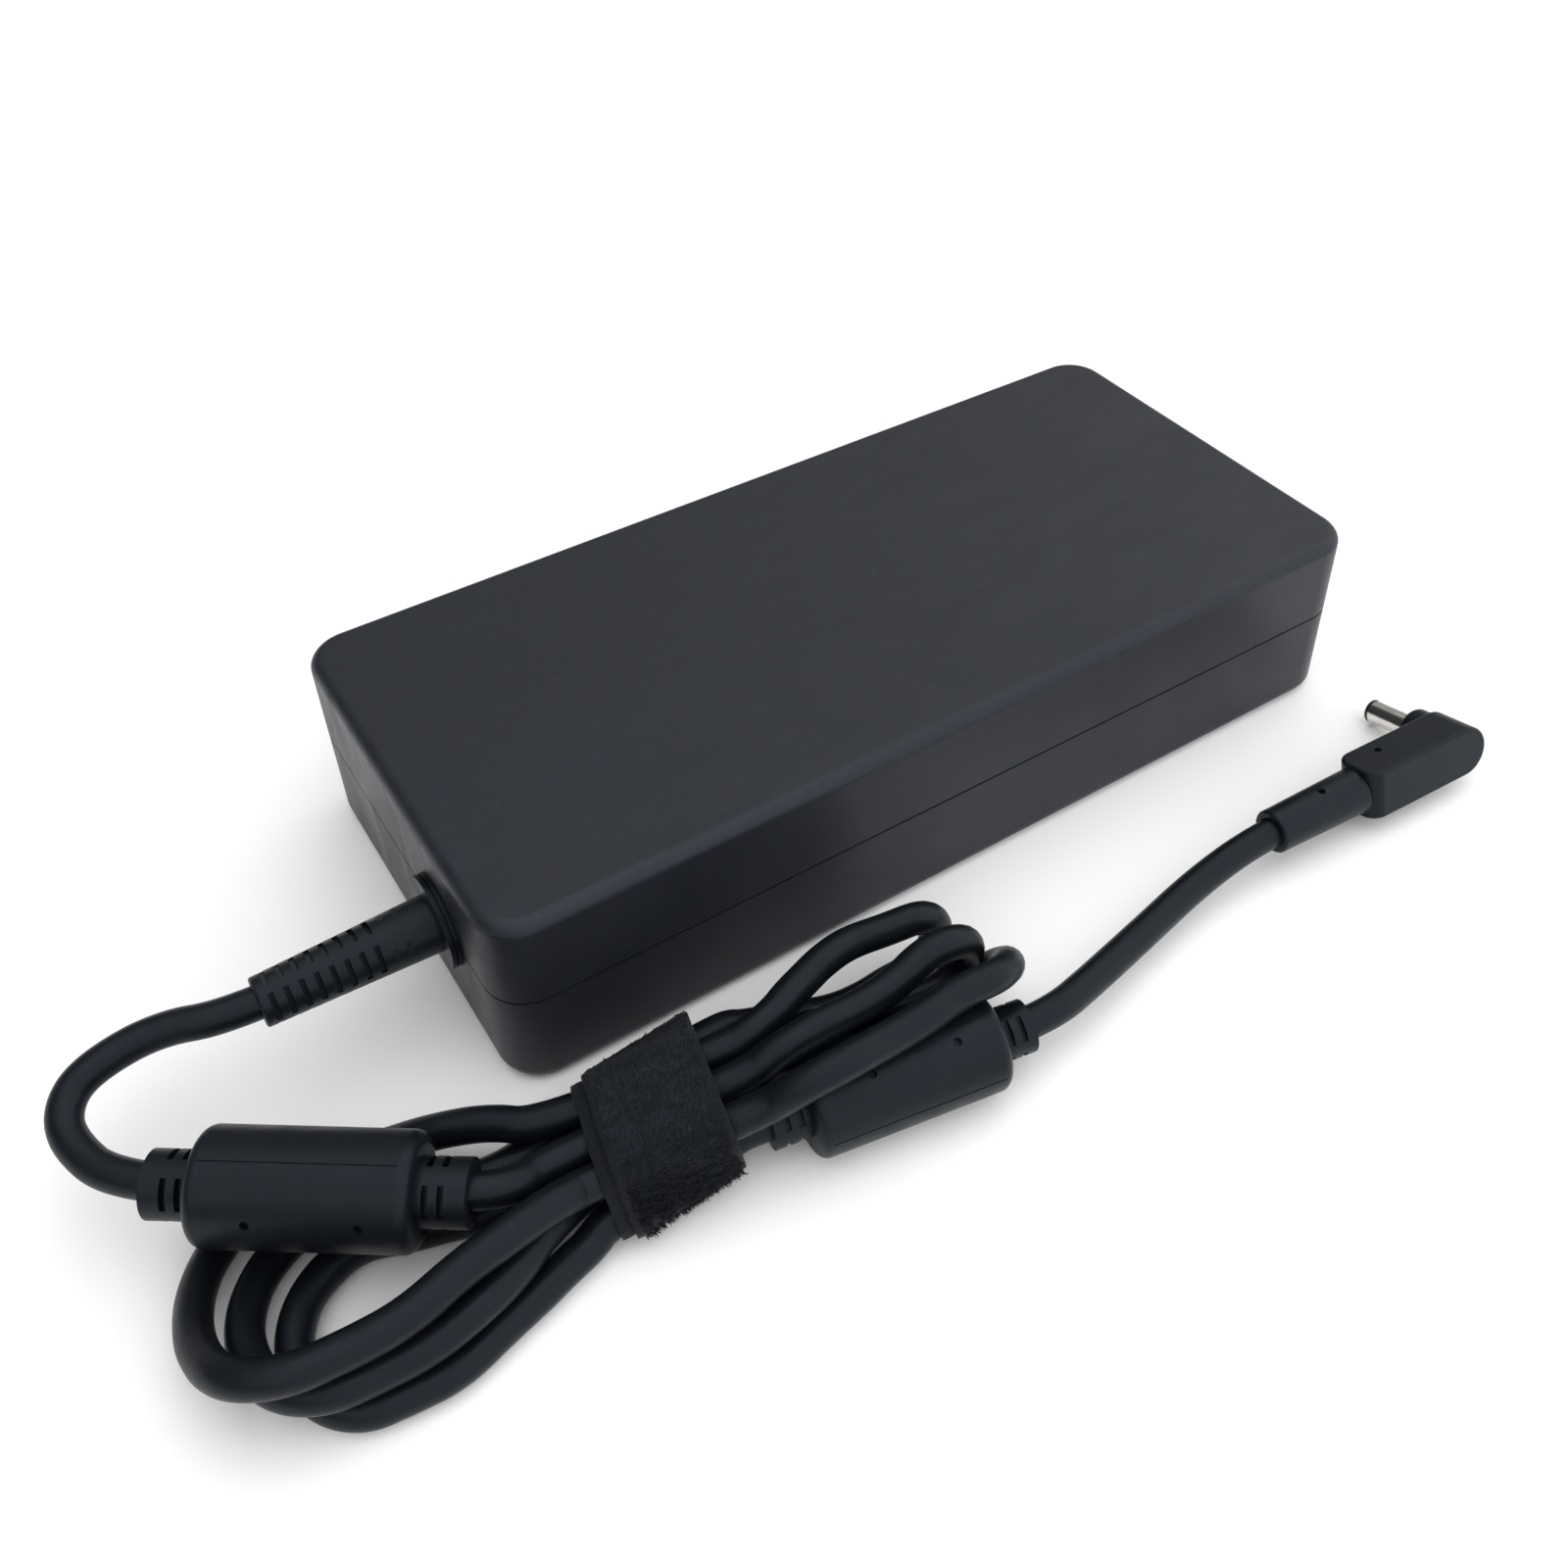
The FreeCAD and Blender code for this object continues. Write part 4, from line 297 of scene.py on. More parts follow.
def plated_metal(name, colour, roughness, stretch=(1, 1, 1)):
    """Bright plating with fine turning lines and slight tarnish."""
    finish = Finish(name, colour, roughness, metallic=1.0)
    lines = finish.noise(size=0.0004, detail=3, place=finish.stretched(stretch))
    finish.mottle(size=0.0025, detail=3, span=(0.45, 0.75), strength=0.5, factor=0.72)
    finish.roughen(lines, below=0.05, above=0.1)
    finish.raise_by(lines, depth=0.00002, strength=0.35)
    return finish.material


def woven_band(look):
    """Narrow woven tape: fine ribs across the band, crossed by weft."""
    finish = Finish("woven_band", look.colour, 0.82, specular=0.25, tone=WOVEN_TONE)
    ribs = finish.noise(size=0.0004, detail=2, place=finish.stretched((1, 0.45, 0.45)))
    finish.tint(finish.spread(ribs, *SOFT_PATCHES, 0.0, 0.8), lighter(look.colour, 2.3))
    finish.raise_by(ribs, depth=0.0002, strength=0.8)
    finish.raise_by(finish.cells(0.0005), depth=0.00012, strength=0.6)
    return finish.sheen(0.06, 0.45).material


def brushed_pile(look):
    """Nylon fibres with bluish streaks, darkened to near black lower down on the band by painted shade.
    """
    finish = Finish("brushed_pile", look.pile_colour, 0.6, specular=0.3, tone=PILE_TONE)
    streaks = finish.noise(size=0.0016, detail=2, place=finish.stretched((0.5, 1, 1)))
    finish.tint(finish.spread(streaks, 0.42, 0.66, 0.0, 0.9), lighter(look.pile_colour, 2.8))
    finish.mottle(size=0.006, detail=2, span=(0.5, 0.75), strength=0.6, factor=0.45)
    # Painted shade: the pile's colour darkens as height falls, standing in for the shade low on the band
    height = finish.add("ShaderNodeSeparateXYZ")
    finish.links.new(finish.place, height.inputs["Vector"])
    painted_shade_low = finish.spread(height.outputs["Z"], PILE_SHADE_STARTS_AT, PILE_SHADE_FULL_AT, 0.0, 0.8)
    finish.tint(painted_shade_low, lighter(look.pile_colour, 0.3))
    finish.roughen(finish.noise(size=0.001, detail=1), below=0.05, above=0.2)
    return finish.sheen(0.04, 0.4).material


def plain_plastic(name, colour, roughness, grain=0.0006):
    finish = Finish(name, colour, roughness)
    finish.mottle(size=0.006, detail=3, span=SOFT_PATCHES, strength=0.5, factor=1.3)
    finish.roughen(finish.noise(size=0.003, detail=3), below=0.08, above=0.1)
    finish.raise_by(finish.noise(grain, detail=2), depth=0.00003, strength=0.5)
    return finish.material


def wound_wire(name, colour):
    """Enamelled wire in close turns."""
    finish = Finish(name, colour, 0.3, metallic=0.85)
    turns = finish.add("ShaderNodeTexWave", wave_type="BANDS", bands_direction="X")
    turns.inputs["Scale"].default_value = WIRE_TURNS_PER_METRE
    turns.inputs["Distortion"].default_value = 0.6
    finish.links.new(finish.place, turns.inputs["Vector"])
    finish.tint(finish.spread(turns.outputs["Fac"], 0.0, 0.6, 0.8, 0.0), lighter(colour, 0.35))
    finish.raise_by(turns.outputs["Fac"], depth=0.0003, strength=0.8)
    return finish.material


def coated_board(name, colour):
    """Solder mask with faint tracks under it."""
    finish = Finish(name, colour, 0.35)
    tracks = finish.cells(0.004, "DISTANCE_TO_EDGE")
    finish.tint(finish.spread(tracks, 0.0, 0.12, 0.8, 0.0), lighter(colour, 0.6))
    finish.raise_by(tracks, depth=0.00005, strength=0.4)
    return finish.material


def dress(names, material):
    """Gives CAD nodes a finish in place of their plain one."""
    for name in names:
        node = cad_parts[name]
        node.data.materials.clear()
        node.data.materials.append(material)


# The cord's route, in millimetres. The same points carry the solid tubes.

CASE_END = -98.0
BOOT = 33.0
INSIDE = 6.0
RUN = 11.0
OUTLET = Vector((0, -18.8, 21.7))
FIRST_BULGE = {"middle": Vector((-135.05, -53.05, 15.7)), "yaw": -35.5, "half": 17.4, "relief": 7.8}
SECOND_BULGE = {"middle": Vector((-44.4, -82.4, 8.95)), "yaw": -10.0, "half": 17.75, "relief": 6.4}
PLUG_ORIGIN = Vector((95.6, -84.2, 9.7))
PLUG_TURN = Matrix.Rotation(math.radians(-2.7), 3, "Z") @ Matrix.Rotation(math.radians(-16.3), 3, "X")
SLEEVE_START = Vector((-48.0, 5.2, 0))


def on_bulge(bulge, along):
    """A point on a moulded bulge's axis, measured from its middle."""
    turn = math.radians(bulge["yaw"])
    return bulge["middle"] + Vector((math.cos(turn), math.sin(turn), 0)) * along


def on_sleeve(along):
    """A point on the plug sleeve's axis, measured from the sleeve's start."""
    return PLUG_ORIGIN + PLUG_TURN @ (SLEEVE_START + Vector((along, 0, 0)))


def first_stretch():
    mouth = Vector((CASE_END - BOOT + INSIDE, OUTLET.y, OUTLET.z))
    return [
        mouth,
        mouth - Vector((RUN, 0, 0)),
        Vector((-146.9, -13.8, 20.9)),
        Vector((-158.7, -14.6, 19.6)),
        Vector((-163.6, -18.0, 18.0)),
        Vector((-164.8, -23.8, 16.4)),
        on_bulge(FIRST_BULGE, -FIRST_BULGE["half"] - FIRST_BULGE["relief"] - INSIDE),
        on_bulge(FIRST_BULGE, -FIRST_BULGE["half"]),
    ]


def second_stretch():
    return [
        on_bulge(SECOND_BULGE, SECOND_BULGE["half"]),
        on_bulge(SECOND_BULGE, SECOND_BULGE["half"] + RUN),
        Vector((-3.5, -84.6, 7.6)),
        Vector((12.0, -81.0, 6.6)),
        Vector((28.0, -77.6, 6.6)),
        on_sleeve(INSIDE - RUN),
        on_sleeve(INSIDE),
    ]


# The hank: seven strands pass through the tie, with three loops on each side

TIE_LEFT = Vector((-96.5, -67.2, 4.9))
TIE_RIGHT = Vector((-71.5, -72.6, 8.7))
TIE_AXIS = (TIE_RIGHT - TIE_LEFT).normalized()
TIE_SIDE = UP.cross(TIE_AXIS).normalized()
TIE_UP = TIE_AXIS.cross(TIE_SIDE)
TIE_REACH = (TIE_RIGHT - TIE_LEFT).length
PITCH = 6.75
ROW_SHIFT = 5.4
STRANDS = {
    "t1": (1.0, 1),
    "t2": (0.0, 1),
    "t3": (-1.0, 1),
    "b1": (1.5, 0),
    "b2": (0.5, 0),
    "b3": (-0.5, 0),
    "b4": (-1.5, 0),
}
STRAIGHT_FROM = {"b4": 3.8, "b3": 1.2, "t3": 3.0}
STRAIGHT_TO = {"b4": 2.5, "b3": -1.2, "b2": 1.0}
LEFT_LOOP = [
    (Vector((-110.0, -51.3, 4.0)), Vector((0.9, -7.1, 0.0))),
    (Vector((-129.0, -42.0, 3.1)), Vector((4.0, -9.7, 0.0))),
    (Vector((-148.0, -44.0, 3.1)), Vector((6.5, -7.2, 0.0))),
    (Vector((-157.6, -59.5, 7.4)), Vector((6.3, -3.3, -2.1))),
    (Vector((-151.5, -77.8, 15.5)), Vector((4.1, -1.7, -6.2))),
    (Vector((-136.0, -80.8, 15.7)), Vector((2.5, -2.1, -6.3))),
    (Vector((-116.0, -77.4, 15.5)), Vector((1.0, -2.2, -6.2))),
]
NEAR_TIE = [Vector((-105.6, -75.4, 14.3)), Vector((-106.4, -74.6, 7.6)), Vector((-103.6, -78.9, 3.2))]
BACK_LIFT = [5.3, 0.0, 0.0]
LEFT_SLOTS = [("t1", "t3"), ("b1", "b3"), ("b2", "b4")]
RIGHT_UPPER = [
    [
        Vector((-61.0, -66.7, 18.0)),
        Vector((-53.0, -63.9, 18.3)),
        Vector((-44.5, -61.3, 18.2)),
        Vector((-28.0, -61.4, 16.6)),
    ],
    [Vector((-59.5, -74.2, 20.2)), Vector((-43.0, -74.0, 19.9)), Vector((-28.8, -73.1, 22.2))],
    [Vector((-60.5, -83.6, 22.4)), Vector((-44.0, -83.4, 21.9)), Vector((-28.6, -82.4, 21.3))],
]
RIGHT_LOWER = [
    [Vector((-28.7, -62.0, 3.1)), Vector((-41.0, -62.0, 3.1)), Vector((-57.0, -57.6, 4.5))],
    [Vector((-30.9, -72.2, 9.0)), Vector((-42.8, -69.8, 10.0)), Vector((-58.0, -67.7, 11.9))],
    [Vector((-30.2, -68.6, 3.1)), Vector((-44.5, -69.2, 3.1)), Vector((-58.0, -64.1, 3.1))],
]
RIGHT_SLOTS = [("t1", "b1"), ("t2", "b3"), ("t3", "b2")]
TIP_AHEAD = Vector((1, -0.08, -0.05))
TIP_BACK = Vector((-1, 0.08, 0))
FLOOR_STRAND = 3.35
NO_TURN = 1e-4
PARALLEL = 1e-9
CORD_STEPS = 12
CORD_SIDES = 7


def slot_end(name, side):
    """A strand's place in the tie's left (-1) or right (+1) end plane."""
    step, row = STRANDS[name]
    across = step * PITCH
    if side > 0 and row == 0:
        across += ROW_SHIFT
    base = TIE_RIGHT if side > 0 else TIE_LEFT
    return base + TIE_SIDE * across + TIE_UP * (row * PITCH)


def along(name):
    return (slot_end(name, 1) - slot_end(name, -1)).normalized()


def slot(name, side):
    """Where a strand's straight run through the tie starts or ends."""
    if side < 0:
        return slot_end(name, -1) + along(name) * STRAIGHT_FROM.get(name, 0)
    return slot_end(name, 1) - along(name) * STRAIGHT_TO.get(name, 0)


def knots_through(points, first, last):
    """Gives each point a direction, weighted towards its nearer neighbour."""
    knots = [(points[0], first)]
    for before, here, after in zip(points, points[1:], points[2:]):
        near = (here - before).length
        far = (after - here).length
        heading = (here - before) * (far / near) + (after - here) * (near / far)
        if here.z < FLOOR_STRAND:
            heading.z = 0
        knots.append((here, heading.normalized()))
    knots.append((points[-1], last))
    return knots


def backwards(knots):
    return [(point, -heading) for point, heading in reversed(knots)]


def left_loop(number):
    back, front = LEFT_SLOTS[number]
    points = [slot(back, -1)]
    points += [start + step * number for start, step in LEFT_LOOP]
    points[1] = points[1] + Vector((0, 0, BACK_LIFT[number]))
    points += [NEAR_TIE[number], slot(front, -1)]
    return knots_through(points, -along(back), along(front))


def right_loop(number):
    upper, lower = RIGHT_SLOTS[number]
    over = RIGHT_UPPER[number]
    under = RIGHT_LOWER[number]
    radius = (over[-1] - under[0]).length / 2
    tip = (over[-1] + under[0]) * 0.5 + Vector((radius, 0, 0))
    points = [slot(upper, 1)] + over + [tip] + under + [slot(lower, 1)]
    knots = knots_through(points, along(upper), -along(lower))
    end = len(over)
    knots[end] = (over[-1], TIP_AHEAD.normalized())
    knots[end + 1] = (tip, (under[0] - over[-1]).normalized())
    knots[end + 2] = (under[0], TIP_BACK.normalized())
    return knots


def through_tie(name, towards):
    knots = [(slot(name, -1), along(name)), (slot(name, 1), along(name))]
    return knots if towards > 0 else backwards(knots)


def hank_knots():
    """The hank's whole route from the first bulge to the second, loop by loop."""
    start = on_bulge(FIRST_BULGE, FIRST_BULGE["half"])
    leave = on_bulge(FIRST_BULGE, FIRST_BULGE["half"] + FIRST_BULGE["relief"])
    arrive = on_bulge(SECOND_BULGE, -SECOND_BULGE["half"] - INSIDE)
    finish = on_bulge(SECOND_BULGE, -SECOND_BULGE["half"])
    out = (leave - start).normalized()
    into = (finish - arrive).normalized()
    knots = [(start, out), (leave, out)]
    order = [
        ("t2", 1, right_loop(1)),
        ("b3", -1, backwards(left_loop(1))),
        ("b1", 1, backwards(right_loop(0))),
        ("t1", -1, left_loop(0)),
        ("t3", 1, right_loop(2)),
        ("b2", -1, left_loop(2)),
    ]
    for name, towards, loop in order:
        knots += through_tie(name, towards)
        knots += loop[1:-1]
    knots += through_tie("b4", 1)
    knots += [(arrive, into), (finish, into)]
    return knots


def bend_corners(first, leaving, last, arriving):
    """The two corners between which two bends from one directed point to another meet."""
    span = last - first
    both = leaving + arriving
    square = 2 * (1 - leaving.dot(arriving))
    linear = 2 * span.dot(both)
    free = -span.dot(span)
    if square < PARALLEL:
        reach = -free / linear
    else:
        reach = (-linear + math.sqrt(linear * linear - 4 * square * free)) / (2 * square)
    return first + leaving * reach, last - arriving * reach


def hank_route():
    """Control points of the hank's spline: the corners of its bends."""
    knots = hank_knots()
    points = [knots[0][0]]
    for (first, leaving), (last, arriving) in zip(knots, knots[1:]):
        if (last - first).angle(leaving) < NO_TURN and leaving.angle(arriving) < NO_TURN:
            continue
        points += bend_corners(first, leaving, last, arriving)
    points.append(knots[-1][0])
    return points


def spline_curve(name, points, diameter):
    """One open smooth spline with the route's points as its control points."""
    curve = bpy.data.curves.new(name, "CURVE")
    curve.dimensions = "3D"
    curve.resolution_u = CORD_STEPS
    curve.bevel_depth = diameter / 2
    curve.bevel_resolution = CORD_SIDES
    curve.use_fill_caps = True
    spline = curve.splines.new("NURBS")
    spline.points.add(len(points) - 1)
    for control, point in zip(spline.points, points):
        control.co = (*(point * MM), 1)
    spline.order_u = 3
    spline.use_endpoint_u = True
    piece = bpy.data.objects.new(name, curve)
    bpy.context.scene.collection.objects.link(piece)
    return piece


def curve_length(piece):
    """The length of a curve's own line."""
    depth = piece.data.bevel_depth
    piece.data.bevel_depth = 0
    bpy.context.view_layer.update()
    evaluated = piece.evaluated_get(bpy.context.evaluated_depsgraph_get())
    line = bpy.data.meshes.new_from_object(evaluated)
    total = 0.0
    for edge in line.edges:
        first, last = (line.vertices[number].co for number in edge.vertices)
        total += (first - last).length
    bpy.data.meshes.remove(line)
    piece.data.bevel_depth = depth
    return total


# The tie: one band wound twice round the strands, with its pile outwards. Lengths are in millimetres.

TIE_START = 2.6
TIE_TURN_STEP = 2.3
TIE_TURNS = 2
STRAND_RADIUS = 3.0
TIE_GAP = 0.3
ARC_STEPS = 7
SIDE_STEPS = 12
WIDTH_STEPS = 40
OUTLINES_PER_MM = 4
HULL = ("t3", "b4", "b1", "t1")
START_OFFSET = 2

# Band: where it climbs onto its first turn, how its end lifts, and how its section and edges vary
SEAT_SHARE = 0.45
CLIMB_FROM = 0.9
CLIMB_SPAN = 0.2
CLIMB_LAYERS = 1.08
END_LIFT = 4
EDGE_STRAY = 0.16
EDGE_RATE = 0.23
EDGES_APART = 9.1
EDGE_NOISE_PLACE = 4.0
THIN_EDGE = 0.62
UNDERSIDE = 0.8
STITCH_PLACE = 0.55
STITCH_REACH = 0.3
STITCH_RISE = 0.05
RIPPLE = 0.05
RIPPLE_RATES = (0.8, 1.4)

# Pile: shares and spreads of its tufts
PILE_SEED = 11
OUTER_TURN = 1.06
PILE_MARGIN = 0.75
ROOT_DEPTH = 0.85
CLUMP_RATES = (0.45, 0.8)
CLUMP_NOISE_PLACE = 7.0
CLUMP_LENGTH = 0.9
LENGTH_SHARES = (0.4, 1.0)
THICKNESSES = (0.06, 0.11)
LEAN_ALONG = 0.5
LEAN_CLUMP = 1.1
LEAN_SPREAD = 0.3
LEAN_ROUND = 0.9
LEAN_ROUND_SPREAD = 0.25
LEAST_LEAN = 0.25
LEAN_SHARE = 0.75
LIE_LOW = 0.08
STAND_UP = 0.95
STAND_SHARES = (0.3, 1.2)
BEND_KEPT = 0.6
BEND_OUT = (-0.5, 0.4)
BEND_SPREAD = 0.4
BEND_LOST_FLAT = 0.8
FLAT_EXTRA_LENGTH = 0.15
FLAT_EXTRA_WIDTH = 0.4
LEAST_HEIGHT = 0.2
HOLE_ROW = 3.0
HOLE_PITCH = 1.9
HOLE_SHARE = 0.3
HOLE_STRETCH = 1.1
HOLES_WHERE = (0.3, 0.75)
LEAST_STANDING = 0.12
USUAL_STANDING = 0.62
STANDS_FACING = 0.5
LIES_UPWARDS = 0.75
TUFT_BEND_AT = 0.55
TUFT_AFTER_BEND = 0.45
TUFT_SIDES = 3
TUFT_TAPER = (1.0, 0.75)


def hull_outline(spot):
    """Points round the strands at one place along the tie: centre and outward direction of each."""
    share = spot / TIE_REACH
    centres = [slot_end(name, -1).lerp(slot_end(name, 1), share) for name in HULL]
    spots = []
    for number, here in enumerate(centres):
        before = centres[number - 1]
        after = centres[(number + 1) % len(centres)]
        first = (here - before).normalized().cross(TIE_AXIS)
        last = (after - here).normalized().cross(TIE_AXIS)
        for step in range(ARC_STEPS):
            spots.append((here, first.slerp(last, step / ARC_STEPS)))
        for step in range(SIDE_STEPS):
            spots.append((here.lerp(after, step / SIDE_STEPS), last))
    return spots


def turn_start():
    """The index on the outline where the band begins and ends: low on the side that faces the case."""
    return 2 * (ARC_STEPS + SIDE_STEPS) + START_OFFSET


def band_rows(look):
    """Rows of points along the wound band: place on the outline, radius, start along the tie and turn."""
    count = len(hull_outline(0))
    layer = look.thickness / MM
    first = turn_start()
    rows = []
    for step in range(TIE_TURNS * count + ARC_STEPS + 1):
        turn = step / count
        climb = min(1.0, max(0.0, (turn - CLIMB_FROM) / CLIMB_SPAN))
        climb = climb * climb * (3 - 2 * climb)
        lift = max(0.0, turn - TIE_TURNS) * END_LIFT
        radius = STRAND_RADIUS + TIE_GAP + layer * (SEAT_SHARE + climb * CLIMB_LAYERS + lift)
        rows.append(((first + step) % count, radius, TIE_START + climb * TIE_TURN_STEP, turn))
    return rows


def edge_flutter(step, side):
    """How far the band's edge strays from straight."""
    return EDGE_STRAY * noise.noise(Vector((step * EDGE_RATE, side * EDGES_APART, EDGE_NOISE_PLACE)))


@functools.lru_cache(maxsize=None)
def stored_outline(step):
    return hull_outline(step / OUTLINES_PER_MM)


def outline_point(spot, place):
    """One point of the outline, interpolated between the nearest stored outlines."""
    low = math.floor(spot * OUTLINES_PER_MM)
    share = spot * OUTLINES_PER_MM - low
    first, first_out = stored_outline(low)[place]
    last, last_out = stored_outline(low + 1)[place]
    return first.lerp(last, share), first_out.lerp(last_out, share).normalized()


def mesh_piece(name, vertices, faces):
    mesh = bpy.data.meshes.new(name)
    mesh.from_pydata(vertices, [], faces)
    mesh.validate()
    mesh.shade_smooth()
    piece = bpy.data.objects.new(name, mesh)
    bpy.context.scene.collection.objects.link(piece)
    return piece


def build_band(look):
    """The band as a closed sheet with bare hems, a thicker middle and slight waves."""
    rows = band_rows(look)
    width = look.width / MM
    half = look.thickness / MM / 2
    hem = look.hem / MM
    vertices = []
    for step, (place, radius, start, _) in enumerate(rows):
        for column in range(WIDTH_STEPS + 1):
            across = width * column / WIDTH_STEPS
            shift = edge_flutter(step, 0) * (1 - across / width) + edge_flutter(step, 1) * across / width
            centre, outward = outline_point(start + across + shift, place)
            edge = min(across, width - across)
            body = min(1.0, edge / hem)
            rise = half * (THIN_EDGE + (1 - THIN_EDGE) * body * body)
            if abs(edge - hem * STITCH_PLACE) < hem * STITCH_REACH:
                rise += STITCH_RISE
            wave = Vector((step * RIPPLE_RATES[0], across * RIPPLE_RATES[1], 0))
            rise += RIPPLE * body * noise.noise(wave)
            vertices.append((centre + outward * (radius + rise)) * MM)
            vertices.append((centre + outward * (radius - half * UNDERSIDE)) * MM)
    return mesh_piece("tie_band", vertices, band_faces(len(rows)))


def band_faces(count):
    """The faces over, under and round the edge of a band with that many rows of points."""
    faces = []
    top, low = 0, 1

    def corner(row, column, side):
        return (row * (WIDTH_STEPS + 1) + column) * 2 + side

    def face(*spots):
        faces.append([corner(*spot) for spot in spots])

    for row in range(count - 1):
        next_row = row + 1
        for column in range(WIDTH_STEPS):
            after = column + 1
            face((row, column, top), (next_row, column, top), (next_row, after, top), (row, after, top))
            face((row, column, low), (row, after, low), (next_row, after, low), (next_row, column, low))
        for column, first, last in ((0, next_row, row), (WIDTH_STEPS, row, next_row)):
            face((first, column, top), (last, column, top), (last, column, low), (first, column, low))
    end = count - 1
    for column in range(WIDTH_STEPS):
        after = column + 1
        face((0, column, top), (0, after, top), (0, after, low), (0, column, low))
        face((end, after, top), (end, column, top), (end, column, low), (end, after, low))
    return faces


def build_pile(look):
    """Tufts of pile: combed flat over the top of the band, standing and frayed lower down."""
    draw = random.Random(PILE_SEED)
    rows = band_rows(look)
    width = look.width / MM
    margin = look.hem / MM * PILE_MARGIN
    depth = look.thickness / MM / 2 * ROOT_DEPTH
    longest = look.pile_length / MM
    outer = [number for number, row in enumerate(rows) if row[3] > OUTER_TURN]
    vertices = []
    faces = []
    for _ in range(look.tufts):
        where = draw.uniform(outer[0], outer[-1] - 1)
        number = int(where)
        share = where - number
        place, radius, start, _ = rows[number]
        across = draw.uniform(margin, width - margin)
        clump = noise.noise(Vector((where * CLUMP_RATES[0], across * CLUMP_RATES[1], CLUMP_NOISE_PLACE)))
        centre, outward = outline_point(start + across, place)
        centre_after, outward_after = outline_point(start + across, rows[number + 1][0])
        ahead = (centre_after + outward_after * radius) - (centre + outward * radius)
        root = centre + outward * (radius + depth) + ahead * share
        ahead.normalize()
        outward = outward.lerp(outward_after, share).normalized()
        standing = standing_share(outward)
        if HOLES_WHERE[0] < standing < HOLES_WHERE[1] and in_hole(where, across):
            continue
        flat = 1 - standing
        length = longest * draw.uniform(*LENGTH_SHARES) * (1 + FLAT_EXTRA_LENGTH * flat)
        length *= 1 + CLUMP_LENGTH * clump * standing
        lean = TIE_AXIS * draw.gauss(LEAN_ALONG + LEAN_CLUMP * clump, LEAN_SPREAD)
        lean -= ahead * draw.gauss(LEAN_ROUND, LEAN_ROUND_SPREAD) * (LEAST_LEAN + flat)
        rise = LIE_LOW + STAND_UP * standing * draw.uniform(*STAND_SHARES)
        heading = (outward * rise + lean * LEAN_SHARE).normalized()
        stray = outward * draw.uniform(*BEND_OUT) + TIE_AXIS * draw.gauss(0, BEND_SPREAD)
        bend = (heading * BEND_KEPT + stray * (1 - BEND_LOST_FLAT * flat)).normalized()
        thick = draw.uniform(*THICKNESSES) * (1 + FLAT_EXTRA_WIDTH * flat)
        if (root + heading * length).z < LEAST_HEIGHT:
            continue
        add_tuft(vertices, faces, root, heading, bend, length, thick)
    return mesh_piece("tie_pile", vertices, faces)


def in_hole(where, across):
    """True inside one of the staggered rows of small openings where the pile is parted."""
    row = round(where / HOLE_ROW)
    place = across / HOLE_PITCH + 0.5 * (row % 2)
    return math.hypot((where / HOLE_ROW - row) * HOLE_STRETCH, place - round(place)) < HOLE_SHARE


def standing_share(outward):
    """How far the pile stands: little on top of the band, fully where it faces out and down."""
    facing = outward.dot(-TIE_SIDE)
    share = USUAL_STANDING + STANDS_FACING * facing - LIES_UPWARDS * outward.z
    return min(1.0, max(LEAST_STANDING, share))


def add_tuft(vertices, faces, root, heading, bend, length, thick):
    """A three-sided fibre with one bend, closed at both ends."""
    middle = root + heading * (length * TUFT_BEND_AT)
    tip = middle + bend * (length * TUFT_AFTER_BEND)
    side = heading.orthogonal().normalized() * thick
    other = heading.cross(side)
    first = len(vertices)
    for centre, size in zip((root, middle), TUFT_TAPER):
        for number in range(TUFT_SIDES):
            angle = number * math.tau / TUFT_SIDES
            out = side * (math.cos(angle) * size) + other * (math.sin(angle) * size)
            vertices.append((centre + out) * MM)
    vertices.append(tip * MM)
    bent = first + TUFT_SIDES
    end = bent + TUFT_SIDES
    for number in range(TUFT_SIDES):
        after = (number + 1) % TUFT_SIDES
        faces.append((first + number, first + after, bent + after, bent + number))
        faces.append((bent + number, bent + after, end))
    faces.append((first + 2, first + 1, first))


# Operators


class ADAPTER_OT_case(bpy.types.Operator):
    """Gives the two covers of the case their moulded finish"""

    bl_idname = "adapter.case"
    bl_label = "Finish the Case"

    def execute(self, context):
        look = context.scene.adapter_case
        dress(["bottom_cover", "top_cover"], moulded_case(look))
        return {"FINISHED"}


class ADAPTER_OT_inlet(bpy.types.Operator):
    """Finishes the mains inlet and its three pins"""

    bl_idname = "adapter.inlet"
    bl_label = "Finish the Inlet"

    def execute(self, context):
        look = context.scene.adapter_case
        dress(["ac_inlet_housing"], plain_plastic("inlet_plastic", look.inlet_colour, 0.42))
        pins = ["line_pin", "neutral_pin", "earth_pin"]
        dress(pins, plated_metal("pin_plating", look.pin_colour, 0.26, (1, 6, 6)))
        return {"FINISHED"}


